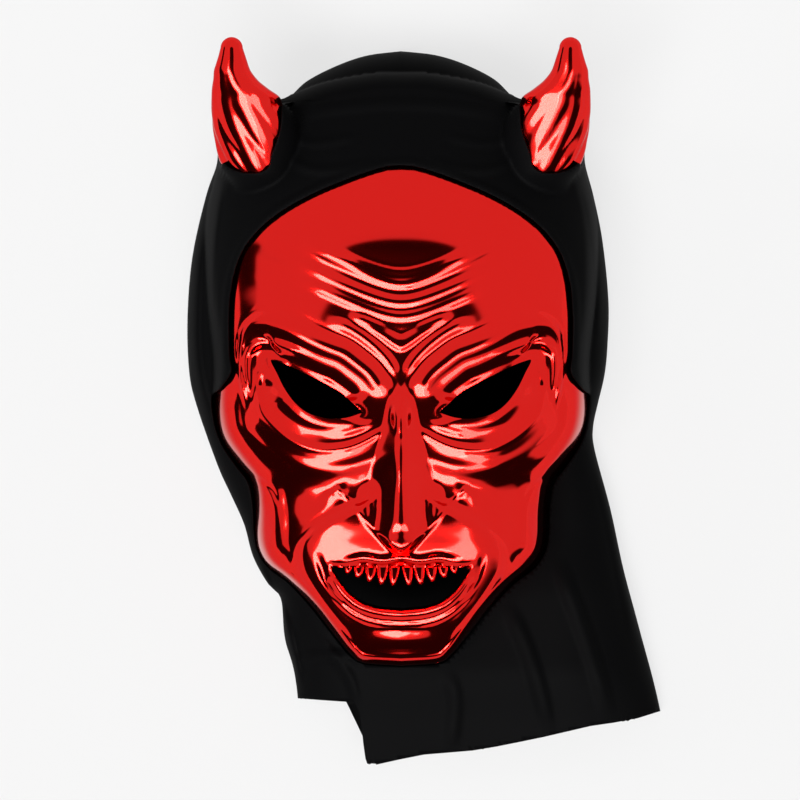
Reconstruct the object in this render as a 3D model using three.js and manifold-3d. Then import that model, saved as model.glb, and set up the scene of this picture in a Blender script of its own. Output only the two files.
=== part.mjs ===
// A devil mask: a hollow red moulded shell with two horns, in a black cloth hood, lying face up.
import * as THREE from 'three';
import { mergeVertices } from 'three/addons/utils/BufferGeometryUtils.js';
import Module from 'manifold-3d';

const wasm = await Module();
wasm.setup();

// Driving sizes, in millimetres. +X is to the right of the picture, +Y the top of the head, +Z up.
const WALL = 1.2;            // plastic wall
const CLOTH = 1.2;           // cloth with its nap and small wrinkles
const GAP = 0.3;             // between pieces that touch
const SAG = 0.7;             // room for the cloth to pass over the shell's facets
const REST = CLOTH + GAP;    // where the shell's sides stand on the cloth under them
const TOP = 129.5;           // upper edge of the shell
const BOTTOM = -106.4;       // chin
const FINEST = 0.09;         // smallest detail that a cut or join leaves in the plastic
const CLOTH_FINEST = 0.3;    // and in the cloth
const BELOW = -5;            // a level under everything
const ABOVE = 200;           // and one over everything
const LIP = -66.8;           // edge of the upper lip
const RIM_EDGE = 0.6;        // upright edge of the rim before the side rounds in

// The mesh of the face: its rows on the features and on the forehead, its columns on either side of the
// middle, and how much closer they lie at the nose and the sides.
const FEATURES_TOP = 54;
const ROW_PITCH = 4.8;
const FOREHEAD_PITCH = 9.5;
const HALF_COLUMNS = 11;
const CROWDING = 0.3;
const EVENED = 1.6;          // reach over which a height is evened out on the mesh

// Half outline of the shell, from the middle of its upper edge down to the middle of the chin.
const EDGE = [[0, TOP], [12, TOP - 0.4], [30, 125.8], [44, 120.8], [53, 119], [61, 116], [67.8, 110.2], [71.5, 102.5],
  [72.2, 95], [74, 87], [77, 76], [78.4, 62], [78, 40], [75.6, 16], [75.3, -4], [72.5, -16], [66, -26], [60.8, -33],
  [59, -43], [58.6, -54], [57, -61], [53, -67], [44.5, -73.5], [35.5, -83], [26, -95], [20.5, -101.5], [15, -105.2],
  [0, BOTTOM]];
// One eye opening, with the outer corner first.
const EYE = [[52, 15.8], [49.5, 10.5], [46.5, 4.5], [42, -1.5], [36.5, -5.5], [29.5, -7.4], [22.5, -7.2],
  [17, -5.6], [15.5, -4.6], [19.5, -1], [24.5, 3.4], [34.5, 8.8], [43.5, 13.2], [49, 15.4]];
// Upper edge of the lower lip, from the middle out to the corner.
const LOWER_LIP = [[0, -83.2], [9.5, -82.2], [15.7, -80.2], [20.8, -76.4], [24, -72.6], [26.2, -69]];
// Upper teeth: place, half width and tip.
const TEETH = [[2.3, 2.1, -74.1], [7, 2.2, -73.7], [11.8, 2.3, -72.6], [16.6, 2.2, -71], [20.9, 1.7, -69.4]];

const TOOTH_ROOT = 2;        // how far a tooth reaches up behind the lip
const TOOTH_BACK = 0.5;      // how far its front stands back from the lip's
const TOOTH = 2;             // its thickness

// Heights along the middle of the face, and of the shell's lower rim: [y, z].
const CROWN = [[-107, 50], [-100, 55.6], [-93, 60], [-86, 63], [-78, 65], [-66, 67.2], [-56, 69.2], [-45, 70.6],
  [-30, 70], [-15, 69], [5, 68.8], [30, 69.2], [50, 69.9], [60, 70.4], [68, 69.4], [74, 67.6], [82, 64.4], [95, 58],
  [108, 51.5], [120, 46], [130, 42]];
const RIM = [[-107, 42], [-95, 36], [-80, 24], [-60, 10], [-38, REST], [45, REST], [70, 4], [95, 13], [130, 28]];
// The plain dome across the face: its half width at the table, how square it is and how full: [y, value].
const DOME_WIDTH = [[-107, 27], [-95, 33], [-80, 45], [-60, 61], [-40, 66], [-10, 78], [20, 80], [50, 82.5], [75, 80],
  [100, 75.5], [130, 67]];
const DOME_SQUARE = [[-107, 3.4], [-60, 3.4], [-20, 3.8], [5, 4], [28, 3.6], [50, 2.5], [130, 2.1]];
const DOME_POWER = [[-107, 0.5], [-60, 0.48], [20, 0.48], [50, 0.44], [130, 0.5]];
// Width over which the shell's outline rounds down to its rim: [y, mm].
const EDGE_ROUND = [[-107, 3.2], [-70, 3.6], [-50, 4.5], [-10, 5.5], [40, 6], [130, 7]];

// Forehead furrows, each a smile-shaped roll: height on the middle line, rise, half length, width above
// and below, height, and how crisp each side is.
const FURROWS = [
  [50.9, 0.45, 31, 2.6, 2.8, 0.47, 1.6, 1.2],
  [46.6, 0.55, 40, 2.8, 3.2, 0.78, 1.2, 1.2],
  [39.2, 0.47, 54, 3.4, 4, 0.84, 1.6, 1.2],
  [33.6, 0.48, 47, 2.8, 3.4, 0.74, 1.2, 1.1],
  [29.6, 0.37, 24, 1.6, 2, 0.31, 1.2, 1.2],
];
const FURROW_SOFT = 10;      // how far from the middle line a furrow's two straight arms begin
const FURROW_END = 0.55;     // share of a furrow's half length over which it dies away

// Profiles carried along a curve: the curve, the profile as [distance to its left, height], how the
// distance is stretched along the curve, and the share of its length over which it rises and dies away.
const EYE_RING = [[54, 15], [56.2, 12], [57.2, 6.4], [56.8, -0.8], [55, -5.6], [51.2, -9.9], [46.4, -14.2],
  [41.6, -17.1], [35.8, -19.3], [29.6, -20], [24.3, -19.5], [19.5, -18.4], [13.8, -16], [8, -12.6], [4.2, -9.9]];
const MUZZLE_EDGE = [[17, -42], [22.6, -44.8], [27.5, -47.3], [32.4, -50.3], [36.1, -53.4], [39.1, -57.1], [40.3, -61],
  [40.4, -65], [39.6, -69.5], [37.9, -73], [34.8, -77.9], [31.2, -82.2], [27.5, -86.5], [22.6, -92], [15.8, -98.8]];
const SWEEPS = {
  brow: [[[62.5, -5], [64.4, 5], [65.2, 15], [64.8, 24], [62.5, 31], [57.5, 35.4], [52, 36.6], [46.9, 35.7],
    [41.6, 33.8], [33.9, 29.9], [27.2, 27], [20, 24.2], [13.8, 19.8], [8, 15], [3.9, 9.3], [2, 4], [1.4, -1]],
  [[-6, 0], [-2, -0.06], [-0.3, -0.31], [0.6, -0.06], [2.5, 0.93], [4.5, 1.49], [6, 1.67], [7.4, 1.46], [8.6, 0.99],
    [10.2, 0.12], [11.4, -0.25], [12.6, -0.56], [14, -1.18], [16, -2.48], [18.5, -3.97], [24, -4.34], [31, -3.22],
    [43, 0]],
  [[0, 10], [0.2, 10], [0.36, 1.5], [0.42, 0], [1, 0]], 0.09, 0.1],
  underEye: [EYE_RING, [[-3, 0], [0, 0], [1.2, 0.12], [4.6, -0.74], [6.2, -0.99], [7.6, -1.3], [9.2, -2.05],
    [12, -3.47], [16, -4.71], [20, -5.08], [30, -4.59], [45, -3.1], [70, 0]], [[0, 0], [1, 0]], 0.4, 0.22],
};
const MUZZLE = [[-34, 0], [-20, 1.24], [-12, 2.11], [-6, 2.67], [-2.6, 2.79], [-1.2, 2.54], [0, 1.86], [1, 0.99],
  [2, 0.43], [3.2, 0.19], [5, 0.37], [7, 0.19], [9, 0]];
const MUZZLE_TOP = -36;      // where the muzzle begins under the nose
const LID = [[0, 1.8], [0.9, 1.92], [1.6, 1.67], [3, 1.55], [4.5, 0.74], [7, 0.06], [8.5, 0]];

// Folds along a curve: the curve, half width on its left and right, height, crispness left and right, and
// the share of its length over which it rises and dies away.
const FOLDS = {
  frownUpper: [[[22, 34.4], [16, 32], [9, 28], [3, 24], [0, 22.4]], 3.2, 3.4, 0.81, 1.2, 1.2, 0.3, 0],
  frownMiddle: [[[14, 30], [8, 26], [2, 21.6], [0, 20.4]], 1.3, 1.3, 0.28, 1.2, 1.2, 0.3, 0],
  frownLower: [[[30, 33], [22, 29.8], [15, 25.6], [9, 20.6], [4, 14.6], [0.6, 7]], 3.8, 2.2, 0.93, 1.4, 1.2, 0.25, 0.2],
  eyeRing: [EYE_RING, 1.4, 2.2, 0.93, 1.2, 1.6, 0.06, 0.12],
  cheekbone: [[[72, 9], [71.5, -4], [68.5, -14], [61.5, -22.5], [53.5, -29], [47.6, -36]], 7, 8, 4, 1.6, 1.6, 0.25, 0.35],
  cheekMuscle: [[[33, -41.4], [26.4, -37.4], [19.6, -33.4]], 3.4, 3, 0.93, 1.4, 1.4, 0.4, 0.4],
  jawPlate: [[[54.4, -30], [53.4, -40], [52.4, -50], [52, -60], [48.6, -68]], 7.5, 7.5, 3.1, 1.6, 1.2, 0.3, 0.25],
  jawCrease: [[[60.8, -30], [55.6, -32.4], [51, -36.6], [48.8, -43]], 1.1, 1.1, -0.74, 1, 1, 0.1, 0.4],
  templeSlot: [[[64.2, 27], [64.6, 20], [63.8, 12], [62.4, 5]], 1.1, 1.1, -1.36, 1, 1, 0.15, 0.15],
  mouthCorner: [[[33.5, -60], [32, -66], [29.8, -72], [24, -82]], 2, 2.4, -0.87, 1.6, 1.6, 0.3, 0.3],
  lipRoll: [[[0, -85.6], [10, -84.6], [17, -82], [22.8, -77.4], [26.4, -72.6], [28.4, -69.4]], 2.6, 2.8, 3, 0.9, 0.9, 0, 0.12],
  lipRollOuter: [[[0, -89.8], [10, -89], [18, -86], [24.4, -80.8], [28.6, -75], [30.4, -70.5]], 1.7, 1.9, 1.3, 1, 1, 0, 0.35],
};

// Bosses and hollows: centre, radii, height, turn in degrees, and how soon the edge dies away.
const BOSSES = {
  temple: [[61, -3], [5, 12], -1.24, 8, 2],
  jawOval: [[54, -48], [3.4, 10.5], -1.12, 3, 1.2],
  upperLip: [[0, -63.4], [26, 2.8], -1.3, 0, 1.5],
  chin: [[0, -97], [17, 7], 1.2, 0, 2],
};

// Nose: half width, height and half width of its ridge along y, its lower edge, the ball of its tip, and
// a wing.
const NOSE_WIDTH = [[-62, 19], [-50, 17.5], [-42, 15.5], [-36, 13.5], [-28, 12], [-18, 10.5], [-8, 7.6], [8, 4]];
const NOSE_HEIGHT = [[-62, 9.8], [-58, 11.2], [-55, 11.7], [-50, 11], [-38, 8.2], [-22, 5.7], [-12, 3.9], [-5, 2.4],
  [2, 1], [10, 0]];
const NOSE_BRIDGE = [[-60, 4.4], [-54, 4.2], [-48, 2.6], [-34, 1.7], [-3, 1], [8, 0.3]];
const NOSE_EDGE = [[26, -35], [18.4, -42.4], [13.2, -49.2], [6.8, -55.9], [3, -59.6], [0, -60.8]];
const NOSE_SIDE = 1.35;      // how hollow the nose's flanks are
const NOSE_UNDER = 2;        // width over which the nose ends under its lower edge
const NOSE_TIP = [[0, -54.5], [5.2, 5.4], 1.2, 0, 1.3];
const NOSE_WING = [[12.4, -37.4], [5.4, 6.4], 1.6, 20, 1.5];

// A horn by its rings, each level across the part: y, centre x, half width, and z of its front and back.
const HORN = [
  [80, 56, 8, 45, 33],
  [86, 55.6, 10.2, 53.6, 31.5],
  [91, 56.8, 12.8, 58.5, 31],
  [96, 57.8, 15, 60.4, 31],
  [102, 58, 16.2, 62.2, 32],
  [108, 58.8, 16.6, 64, 34.5],
  [113, 60, 15.9, 65.4, 37.4],
  [118, 61.6, 14.4, 66.8, 41],
  [121, 62.1, 13.8, 67.6, 43.6],
  [124.4, 64.3, 11.4, 68.4, 47.2],
  [128, 66.2, 8.9, 69, 51.2],
  [132.6, 67.5, 7, 69.6, 55.6],
  [136.5, 67.5, 5.7, 69.8, 58.4],
  [140.4, 67.6, 4.5, 69.8, 60.8],
];
const HORN_TIP = 4.5;        // length of the round end past the last ring
const HORN_FOOT = 102;       // height up to which a sleeve of cloth passes round the horn
const HORN_ROOM = 1.2;       // between a horn and the cloth round it
const FLUTES = 10;           // grooves round a horn
const FLUTE = 0.055;         // their depth as a share of the radius
const FLUTE_END = 1.6;       // how soon they run out, as one over the share of the length
const TIP_TURNS = [0.45, 0.85, 1.2];  // rings of the round end, in radians
const FLUTE_ROOM = 0.5;      // how much further the bore keeps from the ridges
// Where one of the grooves lies round the ring, in degrees, by height.
const FLUTE_LINE = [[80, 120], [95, 104], [98, 99], [105, 83], [109, 77], [120, 67], [140, 70]];

// Hood: its plan, clockwise from the top of the head, with the hem's points last.
const HOOD_RIGHT = [[0, 140.5], [13.6, 139], [25.6, 135.3], [37.6, 129.4], [46, 123.6], [55, 121.8], [63.4, 118.4],
  [70.4, 111.8], [73.8, 103.5], [74.2, 95], [77.6, 82], [81.2, 64], [83.6, 40], [83.2, 22], [82, 10],
  [79.2, -2], [77.4, -11], [78, -20], [84.4, -44], [89.6, -68], [96, -92], [104.4, -124.8]];
const HOOD_LEFT = [[0, 140.5], [-13.6, 138.8], [-26, 134.6], [-38, 128.4], [-46, 123.2], [-55, 121.8], [-63.4, 118.4],
  [-70.4, 111.8], [-73.8, 103.5], [-74.2, 95], [-78.6, 82], [-84, 58], [-86, 34], [-85.4, 12],
  [-82.4, -2], [-74, -26], [-68.6, -38], [-63.2, -50], [-59.6, -63], [-53.6, -74], [-48.4, -80], [-46.8, -96],
  [-42, -116]];
const HEM = [[104.4, -124.8], [91.6, -128.8], [79.6, -130], [55.6, -135.6], [31.6, -140.4], [7.6, -142.4],
  [-10.4, -146.4], [-14.2, -146.4], [-16.4, -127], [-19, -121.2], [-30, -120.4], [-40.4, -120], [-42, -116]];
// Half of the face opening, down to where it reaches the shell's outline, and the round of a horn hole.
const FACE_OPENING = [[0, 93.8], [8, 92.8], [23, 87.6], [39, 80.5], [53, 71.7], [62.6, 61.2], [67.3, 49.4],
  [69, 36.5], [69, 19], [68.4, 11], [73, 4.5]];
const HORN_HOLE = [[47.4, 121], [47.3, 114], [48, 107.7], [50, 101.7], [51.5, 98], [52.4, 93.4],
  [55.5, 91], [61, 90.3], [67.3, 91.8], [71.4, 95.2], [71, 100], [70, 105], [60, 108], [52.5, 113],
  [50, 121]];
const BREAK = 3;             // height on the plan below which the hood's edge follows the shell's outline
// Height that the hood's upper cloth rises to, by place on the plan, and the width it takes to do so.
const HOOD_RISE = [[-150, 13], [-130, 20], [-106, 27], [-80, 27], [-50, 22], [-20, 20], [10, 22], [60, 22],
  [95, 24], [122, 29], [141, 29]];
const HOOD_ROUND = [[-150, 40], [-106, 36], [-70, 26], [-30, 16], [10, 12], [60, 12], [100, 13], [141, 16]];

const RIGHT_PAST_HEM = [112, -170];  // where the sides of the plan run to beyond the hem
const LEFT_PAST_HEM = [-38, -170];
const PAST_HEM = 14;         // how far the cloth's solid passes the hem before the plan cuts it
const OPENING_ROOM = 0.2;    // between the cloth and the shell's outline in the face opening, past the gap
const SAME = 0.05;           // points of a plan closer than this are one
const EDGE_COLUMNS = 0.93;   // share of the width beyond which the swollen face keeps every column

const CLOTH_ROWS = 17;       // the mesh of the cloth
const CLEAR = 0.4;           // how far the cloth's solid passes its plan before the plan cuts it
const CLOTH_COLUMNS = 16;

// Curves

function smoothPath(points, per = 8) {
  const first = [2 * points[0][0] - points[1][0], 2 * points[0][1] - points[1][1]];
  const n = points.length;
  const last = [2 * points[n - 1][0] - points[n - 2][0], 2 * points[n - 1][1] - points[n - 2][1]];
  const p = [first, ...points, last];
  const out = [];
  for (let i = 0; i < n - 1; i++) {
    for (let k = 0; k < per; k++) out.push(between(p[i], p[i + 1], p[i + 2], p[i + 3], k / per));
  }
  out.push(points[n - 1]);
  return out;
}

function between(a, b, c, d, t) {
  return a.map((_, i) => 0.5 * (2 * b[i] + (c[i] - a[i]) * t + (2 * a[i] - 5 * b[i] + 4 * c[i] - d[i]) * t * t
    + (3 * b[i] - a[i] - 3 * c[i] + d[i]) * t ** 3));
}

function closedPath(points, per = 4) {
  const n = points.length;
  const out = [];
  for (let i = 0; i < n; i++) {
    const [a, b, c, d] = [points[(i + n - 1) % n], points[i], points[(i + 1) % n], points[(i + 2) % n]];
    for (let k = 0; k < per; k++) out.push(between(a, b, c, d, k / per));
  }
  return out;
}

// Signed distance from a path, positive on its left, and the share of its length reached.
function fromPath(path, x, y) {
  let best = Infinity;
  let side = 1;
  let place = 0;
  let run = 0;
  for (let i = 0; i + 1 < path.length; i++) {
    const [ax, ay] = path[i];
    const ux = path[i + 1][0] - ax;
    const uy = path[i + 1][1] - ay;
    const length = Math.hypot(ux, uy);
    const t = Math.min(1, Math.max(0, ((x - ax) * ux + (y - ay) * uy) / Math.max(length * length, 1e-12)));
    const d = Math.hypot(x - ax - t * ux, y - ay - t * uy);
    if (d < best) {
      best = d;
      side = ux * (y - ay) - uy * (x - ax) >= 0 ? 1 : -1;
      place = run + t * length;
    }
    run += length;
  }
  return { off: best * side, place: place / run };
}

// A smooth value through pairs of place and height, with no overshoot.
function through(pairs, at) {
  const n = pairs.length;
  const v = Math.min(pairs[n - 1][0], Math.max(pairs[0][0], at));
  let i = 0;
  while (i < n - 2 && v > pairs[i + 1][0]) i++;
  const slope = (k) => (pairs[k + 1][1] - pairs[k][1]) / (pairs[k + 1][0] - pairs[k][0]);
  const tangent = (k) => {
    if (k === 0) return slope(0);
    if (k === n - 1) return slope(n - 2);
    const [m0, m1] = [slope(k - 1), slope(k)];
    if (m0 * m1 <= 0) return 0;
    const [h0, h1] = [pairs[k][0] - pairs[k - 1][0], pairs[k + 1][0] - pairs[k][0]];
    const [w0, w1] = [2 * h1 + h0, h1 + 2 * h0];
    return (w0 + w1) / (w0 / m0 + w1 / m1);
  };
  const h = pairs[i + 1][0] - pairs[i][0];
  const t = (v - pairs[i][0]) / h;
  return (2 * t ** 3 - 3 * t * t + 1) * pairs[i][1] + (t ** 3 - 2 * t * t + t) * h * tangent(i)
    + (3 * t * t - 2 * t ** 3) * pairs[i + 1][1] + (t ** 3 - t * t) * h * tangent(i + 1);
}

function ease(t) {
  const u = Math.min(1, Math.max(0, t));
  return u * u * (3 - 2 * u);
}

// The relief of the face

const foldPaths = Object.values(FOLDS).map(([points, ...rest]) => [smoothPath(points, 6), ...rest]);
const sweepPaths = Object.values(SWEEPS).map(([points, ...rest]) => [smoothPath(points, 6), ...rest]);
const muzzlePath = smoothPath(MUZZLE_EDGE, 6);
const edgePath = smoothPath(EDGE, 3);
const noseEdgePath = smoothPath(NOSE_EDGE, 6);
const eyePath = closedPath(EYE, 4);

function fold([path, left, right, high, crispLeft, crispRight, head, tail], x, y) {
  const { off, place } = fromPath(path, x, y);
  const reach = Math.abs(off) / (off > 0 ? left : right);
  if (reach >= 1) return 0;
  let rise = high * (1 - reach * reach) ** (off > 0 ? crispLeft : crispRight);
  if (head) rise *= ease(place / head);
  if (tail) rise *= ease((1 - place) / tail);
  return rise;
}

function sweep([path, profile, stretch, head, tail], x, y) {
  const { off, place } = fromPath(path, x, y);
  const along = Math.max(0, stretch.findIndex(([at], k) => k > 0 && place <= at) - 1);
  const [[t0, v0], [t1, v1]] = [stretch[along], stretch[along + 1]];
  const further = (v0 + (v1 - v0) * (place - t0) / (t1 - t0)) * Math.min(1, Math.max(0, off / 2));
  return through(profile, off + further) * ease(place / head) * ease((1 - place) / tail);
}

// The muzzle swells up inside its edge, from under the nose down to the chin.
function muzzle(x, y) {
  const { off, place } = fromPath(muzzlePath, x, y);
  return through(MUZZLE, off) * ease((1 - place) / 0.2) * ease((MUZZLE_TOP - y) / 7) * ease((y - BOTTOM) / 12);
}

// The lower lid, a swelling round the lower half of the eye opening.
function lid(x, y) {
  const below = ease((0.5 * x - 17 - y) / 6 + 0.5);
  return below ? through(LID, Math.abs(fromPath(eyePath, x, y).off)) * below : 0;
}

function boss([centre, radii, high, turn, power], x, y) {
  const c = Math.cos(THREE.MathUtils.degToRad(turn));
  const s = Math.sin(THREE.MathUtils.degToRad(turn));
  const [u, v] = [x - centre[0], y - centre[1]];
  const r = ((u * c + v * s) / radii[0]) ** 2 + ((v * c - u * s) / radii[1]) ** 2;
  return high * Math.max(0, 1 - r) ** power;
}

function furrow([middle, rise, half, up, down, high, crispUp, crispDown], x, y) {
  const slope = rise * x / Math.hypot(x, FURROW_SOFT);
  const off = (y - middle - rise * (Math.hypot(x, FURROW_SOFT) - FURROW_SOFT)) / Math.hypot(1, slope);
  const reach = Math.abs(off) / (off > 0 ? up : down);
  if (reach >= 1) return 0;
  return high * (1 - reach * reach) ** (off > 0 ? crispUp : crispDown) * ease((half - x) / (FURROW_END * half));
}

function nose(x, y) {
  const bridge = through(NOSE_BRIDGE, y);
  const side = Math.min(1, Math.max(0, 1 - (x - bridge) / (through(NOSE_WIDTH, y) - bridge)));
  const rise = through(NOSE_HEIGHT, y) * side ** NOSE_SIDE + boss(NOSE_TIP, x, y) + boss(NOSE_WING, x, y);
  const lowest = NOSE_EDGE[NOSE_EDGE.length - 1][1] - NOSE_UNDER;
  if (y < lowest) return 0;
  return y > NOSE_EDGE[0][1] ? rise : rise * ease(0.5 - fromPath(noseEdgePath, x, y).off / NOSE_UNDER);
}

// The plain dome under the relief. far is how far the point lies in from the shell's outline.
function faceBase(x, y, far) {
  const rim = through(RIM, y) + RIM_EDGE;
  const share = Math.min(1, Math.abs(x) / through(DOME_WIDTH, y));
  const dome = (1 - share ** through(DOME_SQUARE, y)) ** through(DOME_POWER, y);
  const round = Math.sqrt(1 - (1 - Math.min(1, far / through(EDGE_ROUND, y))) ** 2);
  return rim + (through(CROWN, y) - rim) * dome * round;
}

// Height of the red face over the table.
function faceHeight(atX, y, far) {
  const x = Math.abs(atX);
  let z = faceBase(x, y, far) + nose(x, y) + muzzle(x, y) + lid(x, y);
  for (const f of FURROWS) z += furrow(f, x, y);
  for (const f of sweepPaths) z += sweep(f, x, y);
  for (const f of foldPaths) z += fold(f, x, y);
  for (const b of Object.values(BOSSES)) z += boss(b, x, y);
  return Math.max(through(RIM, y) + RIM_EDGE, z);
}

// Solids

function solidOf(geometry) {
  const bare = geometry.index ? geometry.toNonIndexed() : geometry.clone();
  for (const name of Object.keys(bare.attributes)) if (name !== 'position') bare.deleteAttribute(name);
  const merged = mergeVertices(bare, 1e-4);
  const mesh = new wasm.Mesh({
    numProp: 3,
    vertProperties: Float32Array.from(merged.attributes.position.array),
    triVerts: Uint32Array.from(merged.index.array),
  });
  mesh.merge();
  return new wasm.Manifold(mesh);
}

function geometryOf(solid) {
  const mesh = solid.getMesh();
  const geometry = new THREE.BufferGeometry();
  geometry.setAttribute('position', new THREE.BufferAttribute(Float32Array.from(mesh.vertProperties), 3));
  geometry.setIndex(Array.from(mesh.triVerts));
  return geometry;
}

// A closed solid between two grids of points that share their border's plan, upper one first.
function between2(upper, lower) {
  const [rows, cols] = [upper.length, upper[0].length];
  const points = [...upper.flat(), ...lower.flat()];
  const under = rows * cols;
  const index = [];
  const quad = (a, b, c, d, turned) => {
    if (turned) index.push(a, b, d, b, c, d);
    else index.push(a, b, c, a, c, d);
  };
  for (let r = 0; r + 1 < rows; r++) {
    for (let c = 0; c + 1 < cols; c++) {
      const a = r * cols + c;
      const turned = c < (cols - 1) / 2;
      quad(a, a + 1, a + cols + 1, a + cols, turned);
      quad(under + a, under + a + cols, under + a + cols + 1, under + a + 1, !turned);
    }
  }
  const border = [];
  for (let c = 0; c < cols - 1; c++) border.push(c);
  for (let r = 0; r < rows - 1; r++) border.push(r * cols + cols - 1);
  for (let c = cols - 1; c > 0; c--) border.push((rows - 1) * cols + c);
  for (let r = rows - 1; r > 0; r--) border.push(r * cols);
  border.forEach((a, i) => {
    const b = border[(i + 1) % border.length];
    quad(a, under + a, under + b, b, false);
  });
  const geometry = new THREE.BufferGeometry();
  geometry.setAttribute('position', new THREE.Float32BufferAttribute(points.flat(), 3));
  geometry.setIndex(index);
  return solidOf(geometry);
}

function prism(points, low, high) {
  const shape = new THREE.Shape(points.map(([x, y]) => new THREE.Vector2(x, y)));
  const geometry = new THREE.ExtrudeGeometry(shape, { depth: high - low, bevelEnabled: false });
  return solidOf(geometry.translate(0, 0, low));
}

const mirrored = (points) => points.map(([x, ...rest]) => [-x, ...rest]);

// Half width of the shell at a height on the plan.
function halfWidth(y) {
  let i = 0;
  while (i < edgePath.length - 2 && edgePath[i + 1][1] > y) i++;
  const [a, b] = [edgePath[i], edgePath[i + 1]];
  const t = a[1] === b[1] ? 1 : Math.min(1, Math.max(0, (a[1] - y) / (a[1] - b[1])));
  return a[0] + (b[0] - a[0]) * t;
}

// Rows lie close together over the features and further apart on the forehead.
function faceRows() {
  const rows = [BOTTOM, BOTTOM + 1.2, BOTTOM + 4];
  for (let y = BOTTOM + 8; y < FEATURES_TOP; y += ROW_PITCH) rows.push(y);
  for (let y = FEATURES_TOP + 7; y < TOP - 10; y += FOREHEAD_PITCH) rows.push(y);
  return [...rows, TOP - 7, TOP - 3.5, TOP - 1.2, TOP];
}

// Shares of the half width, from -1 to 1.
function faceColumns() {
  const out = [];
  for (let i = -HALF_COLUMNS; i <= HALF_COLUMNS; i++) {
    const t = i / HALF_COLUMNS;
    out.push(t - CROWDING * Math.sin(2 * Math.PI * t) / (2 * Math.PI));
  }
  return out;
}

const farIn = (x, y) => Math.abs(fromPath(edgePath, Math.abs(x), y).off);

// Each height is evened out over its cell, so that narrow folds stay smooth on wide triangles.
function faceGrid() {
  const rows = faceRows();
  return rows.map((y) => faceColumns().map((s) => {
    const x = s * halfWidth(y);
    const far = farIn(x, y);
    const reach = Math.min(EVENED, far / 2);
    const around = [[0, 0], [reach, reach], [reach, -reach], [-reach, reach], [-reach, -reach]];
    const heights = around.map(([i, j]) => faceHeight(x + i, y + j, farIn(x + i, y + j)));
    return [x, y, far < EVENED ? heights[0] : heights.reduce((a, b) => a + b) / around.length];
  }));
}

// The grid moved along its own normals, which are evened out over their neighbours.
function moved(grid, by) {
  const [rows, cols] = [grid.length, grid[0].length];
  const at = (r, c) => grid[Math.min(rows - 1, Math.max(0, r))][Math.min(cols - 1, Math.max(0, c))];
  const normal = (r, c) => {
    const along = new THREE.Vector3(...at(r, c + 1)).sub(new THREE.Vector3(...at(r, c - 1)));
    const up = new THREE.Vector3(...at(r + 1, c)).sub(new THREE.Vector3(...at(r - 1, c)));
    return along.cross(up).normalize();
  };
  return grid.map((row, r) => row.map((p, c) => {
    const even = normal(r, c).multiplyScalar(2);
    for (const [i, j] of [[0, 1], [0, -1], [1, 0], [-1, 0]]) {
      const [rr, cc] = [r + i, c + j];
      if (rr >= 0 && rr < rows && cc >= 0 && cc < cols) even.add(normal(rr, cc));
    }
    even.normalize().multiplyScalar(by);
    return [p[0] + even.x, p[1] + even.y, p[2] + even.z];
  }));
}

const dropped = (grid, level) => grid.map((row) => row.map(([x, y]) => [x, y, level(x, y)]));

// A horn as a closed solid up to a height, drawn in by thin. Fluted, its sides follow the grooves.
function horn(thin, sides, levels, end, fluted = false) {
  const [low, high] = [HORN[0][0], HORN[HORN.length - 1][0]];
  const points = [];
  const value = (k, y) => through(HORN.map((ring) => [ring[0], ring[k]]), y);
  const middle = (y) => (value(3, y) + value(4, y)) / 2;
  const ringAt = (y, shrink, push) => {
    const [across, wide] = [value(1, y), (value(2, y) - thin) * shrink];
    const tall = ((value(3, y) - value(4, y)) / 2 - thin) * shrink;
    const start = fluted ? THREE.MathUtils.degToRad(through(FLUTE_LINE, y)) : 0;
    const fade = Math.min(1, FLUTE_END * (high - y) / (high - low));
    for (let k = 0; k < sides; k++) {
      const angle = start + (k / sides) * 2 * Math.PI;
      const round = fluted && k % 2 === 0 ? 1 - FLUTE * fade : 1;
      points.push([across + Math.cos(angle) * wide * round, y + push, middle(y) + Math.sin(angle) * tall * round]);
    }
  };
  for (const y of levels) ringAt(y, 1, 0);
  const tip = end >= high ? HORN_TIP - thin : 0;
  if (tip) for (const turn of TIP_TURNS) ringAt(high, Math.cos(turn), Math.sin(turn) * tip);
  const made = points.length / sides;
  const bottom = points.push([value(1, levels[0]), levels[0], middle(levels[0])]) - 1;
  const last = Math.min(end, high);
  const top = points.push([value(1, last), last + tip, middle(last)]) - 1;
  const index = [];
  for (let r = 0; r + 1 < made; r++) {
    for (let k = 0; k < sides; k++) {
      const a = r * sides + k;
      const b = r * sides + (k + 1) % sides;
      index.push(a, b + sides, b, a, a + sides, b + sides);
    }
  }
  for (let k = 0; k < sides; k++) {
    const next = (k + 1) % sides;
    index.push(bottom, k, next);
    index.push(top, (made - 1) * sides + next, (made - 1) * sides + k);
  }
  const geometry = new THREE.BufferGeometry();
  geometry.setAttribute('position', new THREE.Float32BufferAttribute(points.flat(), 3));
  geometry.setIndex(index);
  return solidOf(geometry);
}

// Heights of the rings of a horn up to an end, every so many rows of its table.
function hornLevels(end, every = 1) {
  const rows = HORN.map((ring) => ring[0]);
  return rows.filter((y, i) => y <= end && (i % every === 0 || i === rows.length - 1));
}

function mouthPrism() {
  const low = smoothPath(LOWER_LIP, 2);
  const corner = LOWER_LIP[LOWER_LIP.length - 1][0];
  return prism([...mirrored(low).reverse(), ...low.slice(1), [corner, LIP], [-corner, LIP]], 0, ABOVE);
}

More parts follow.
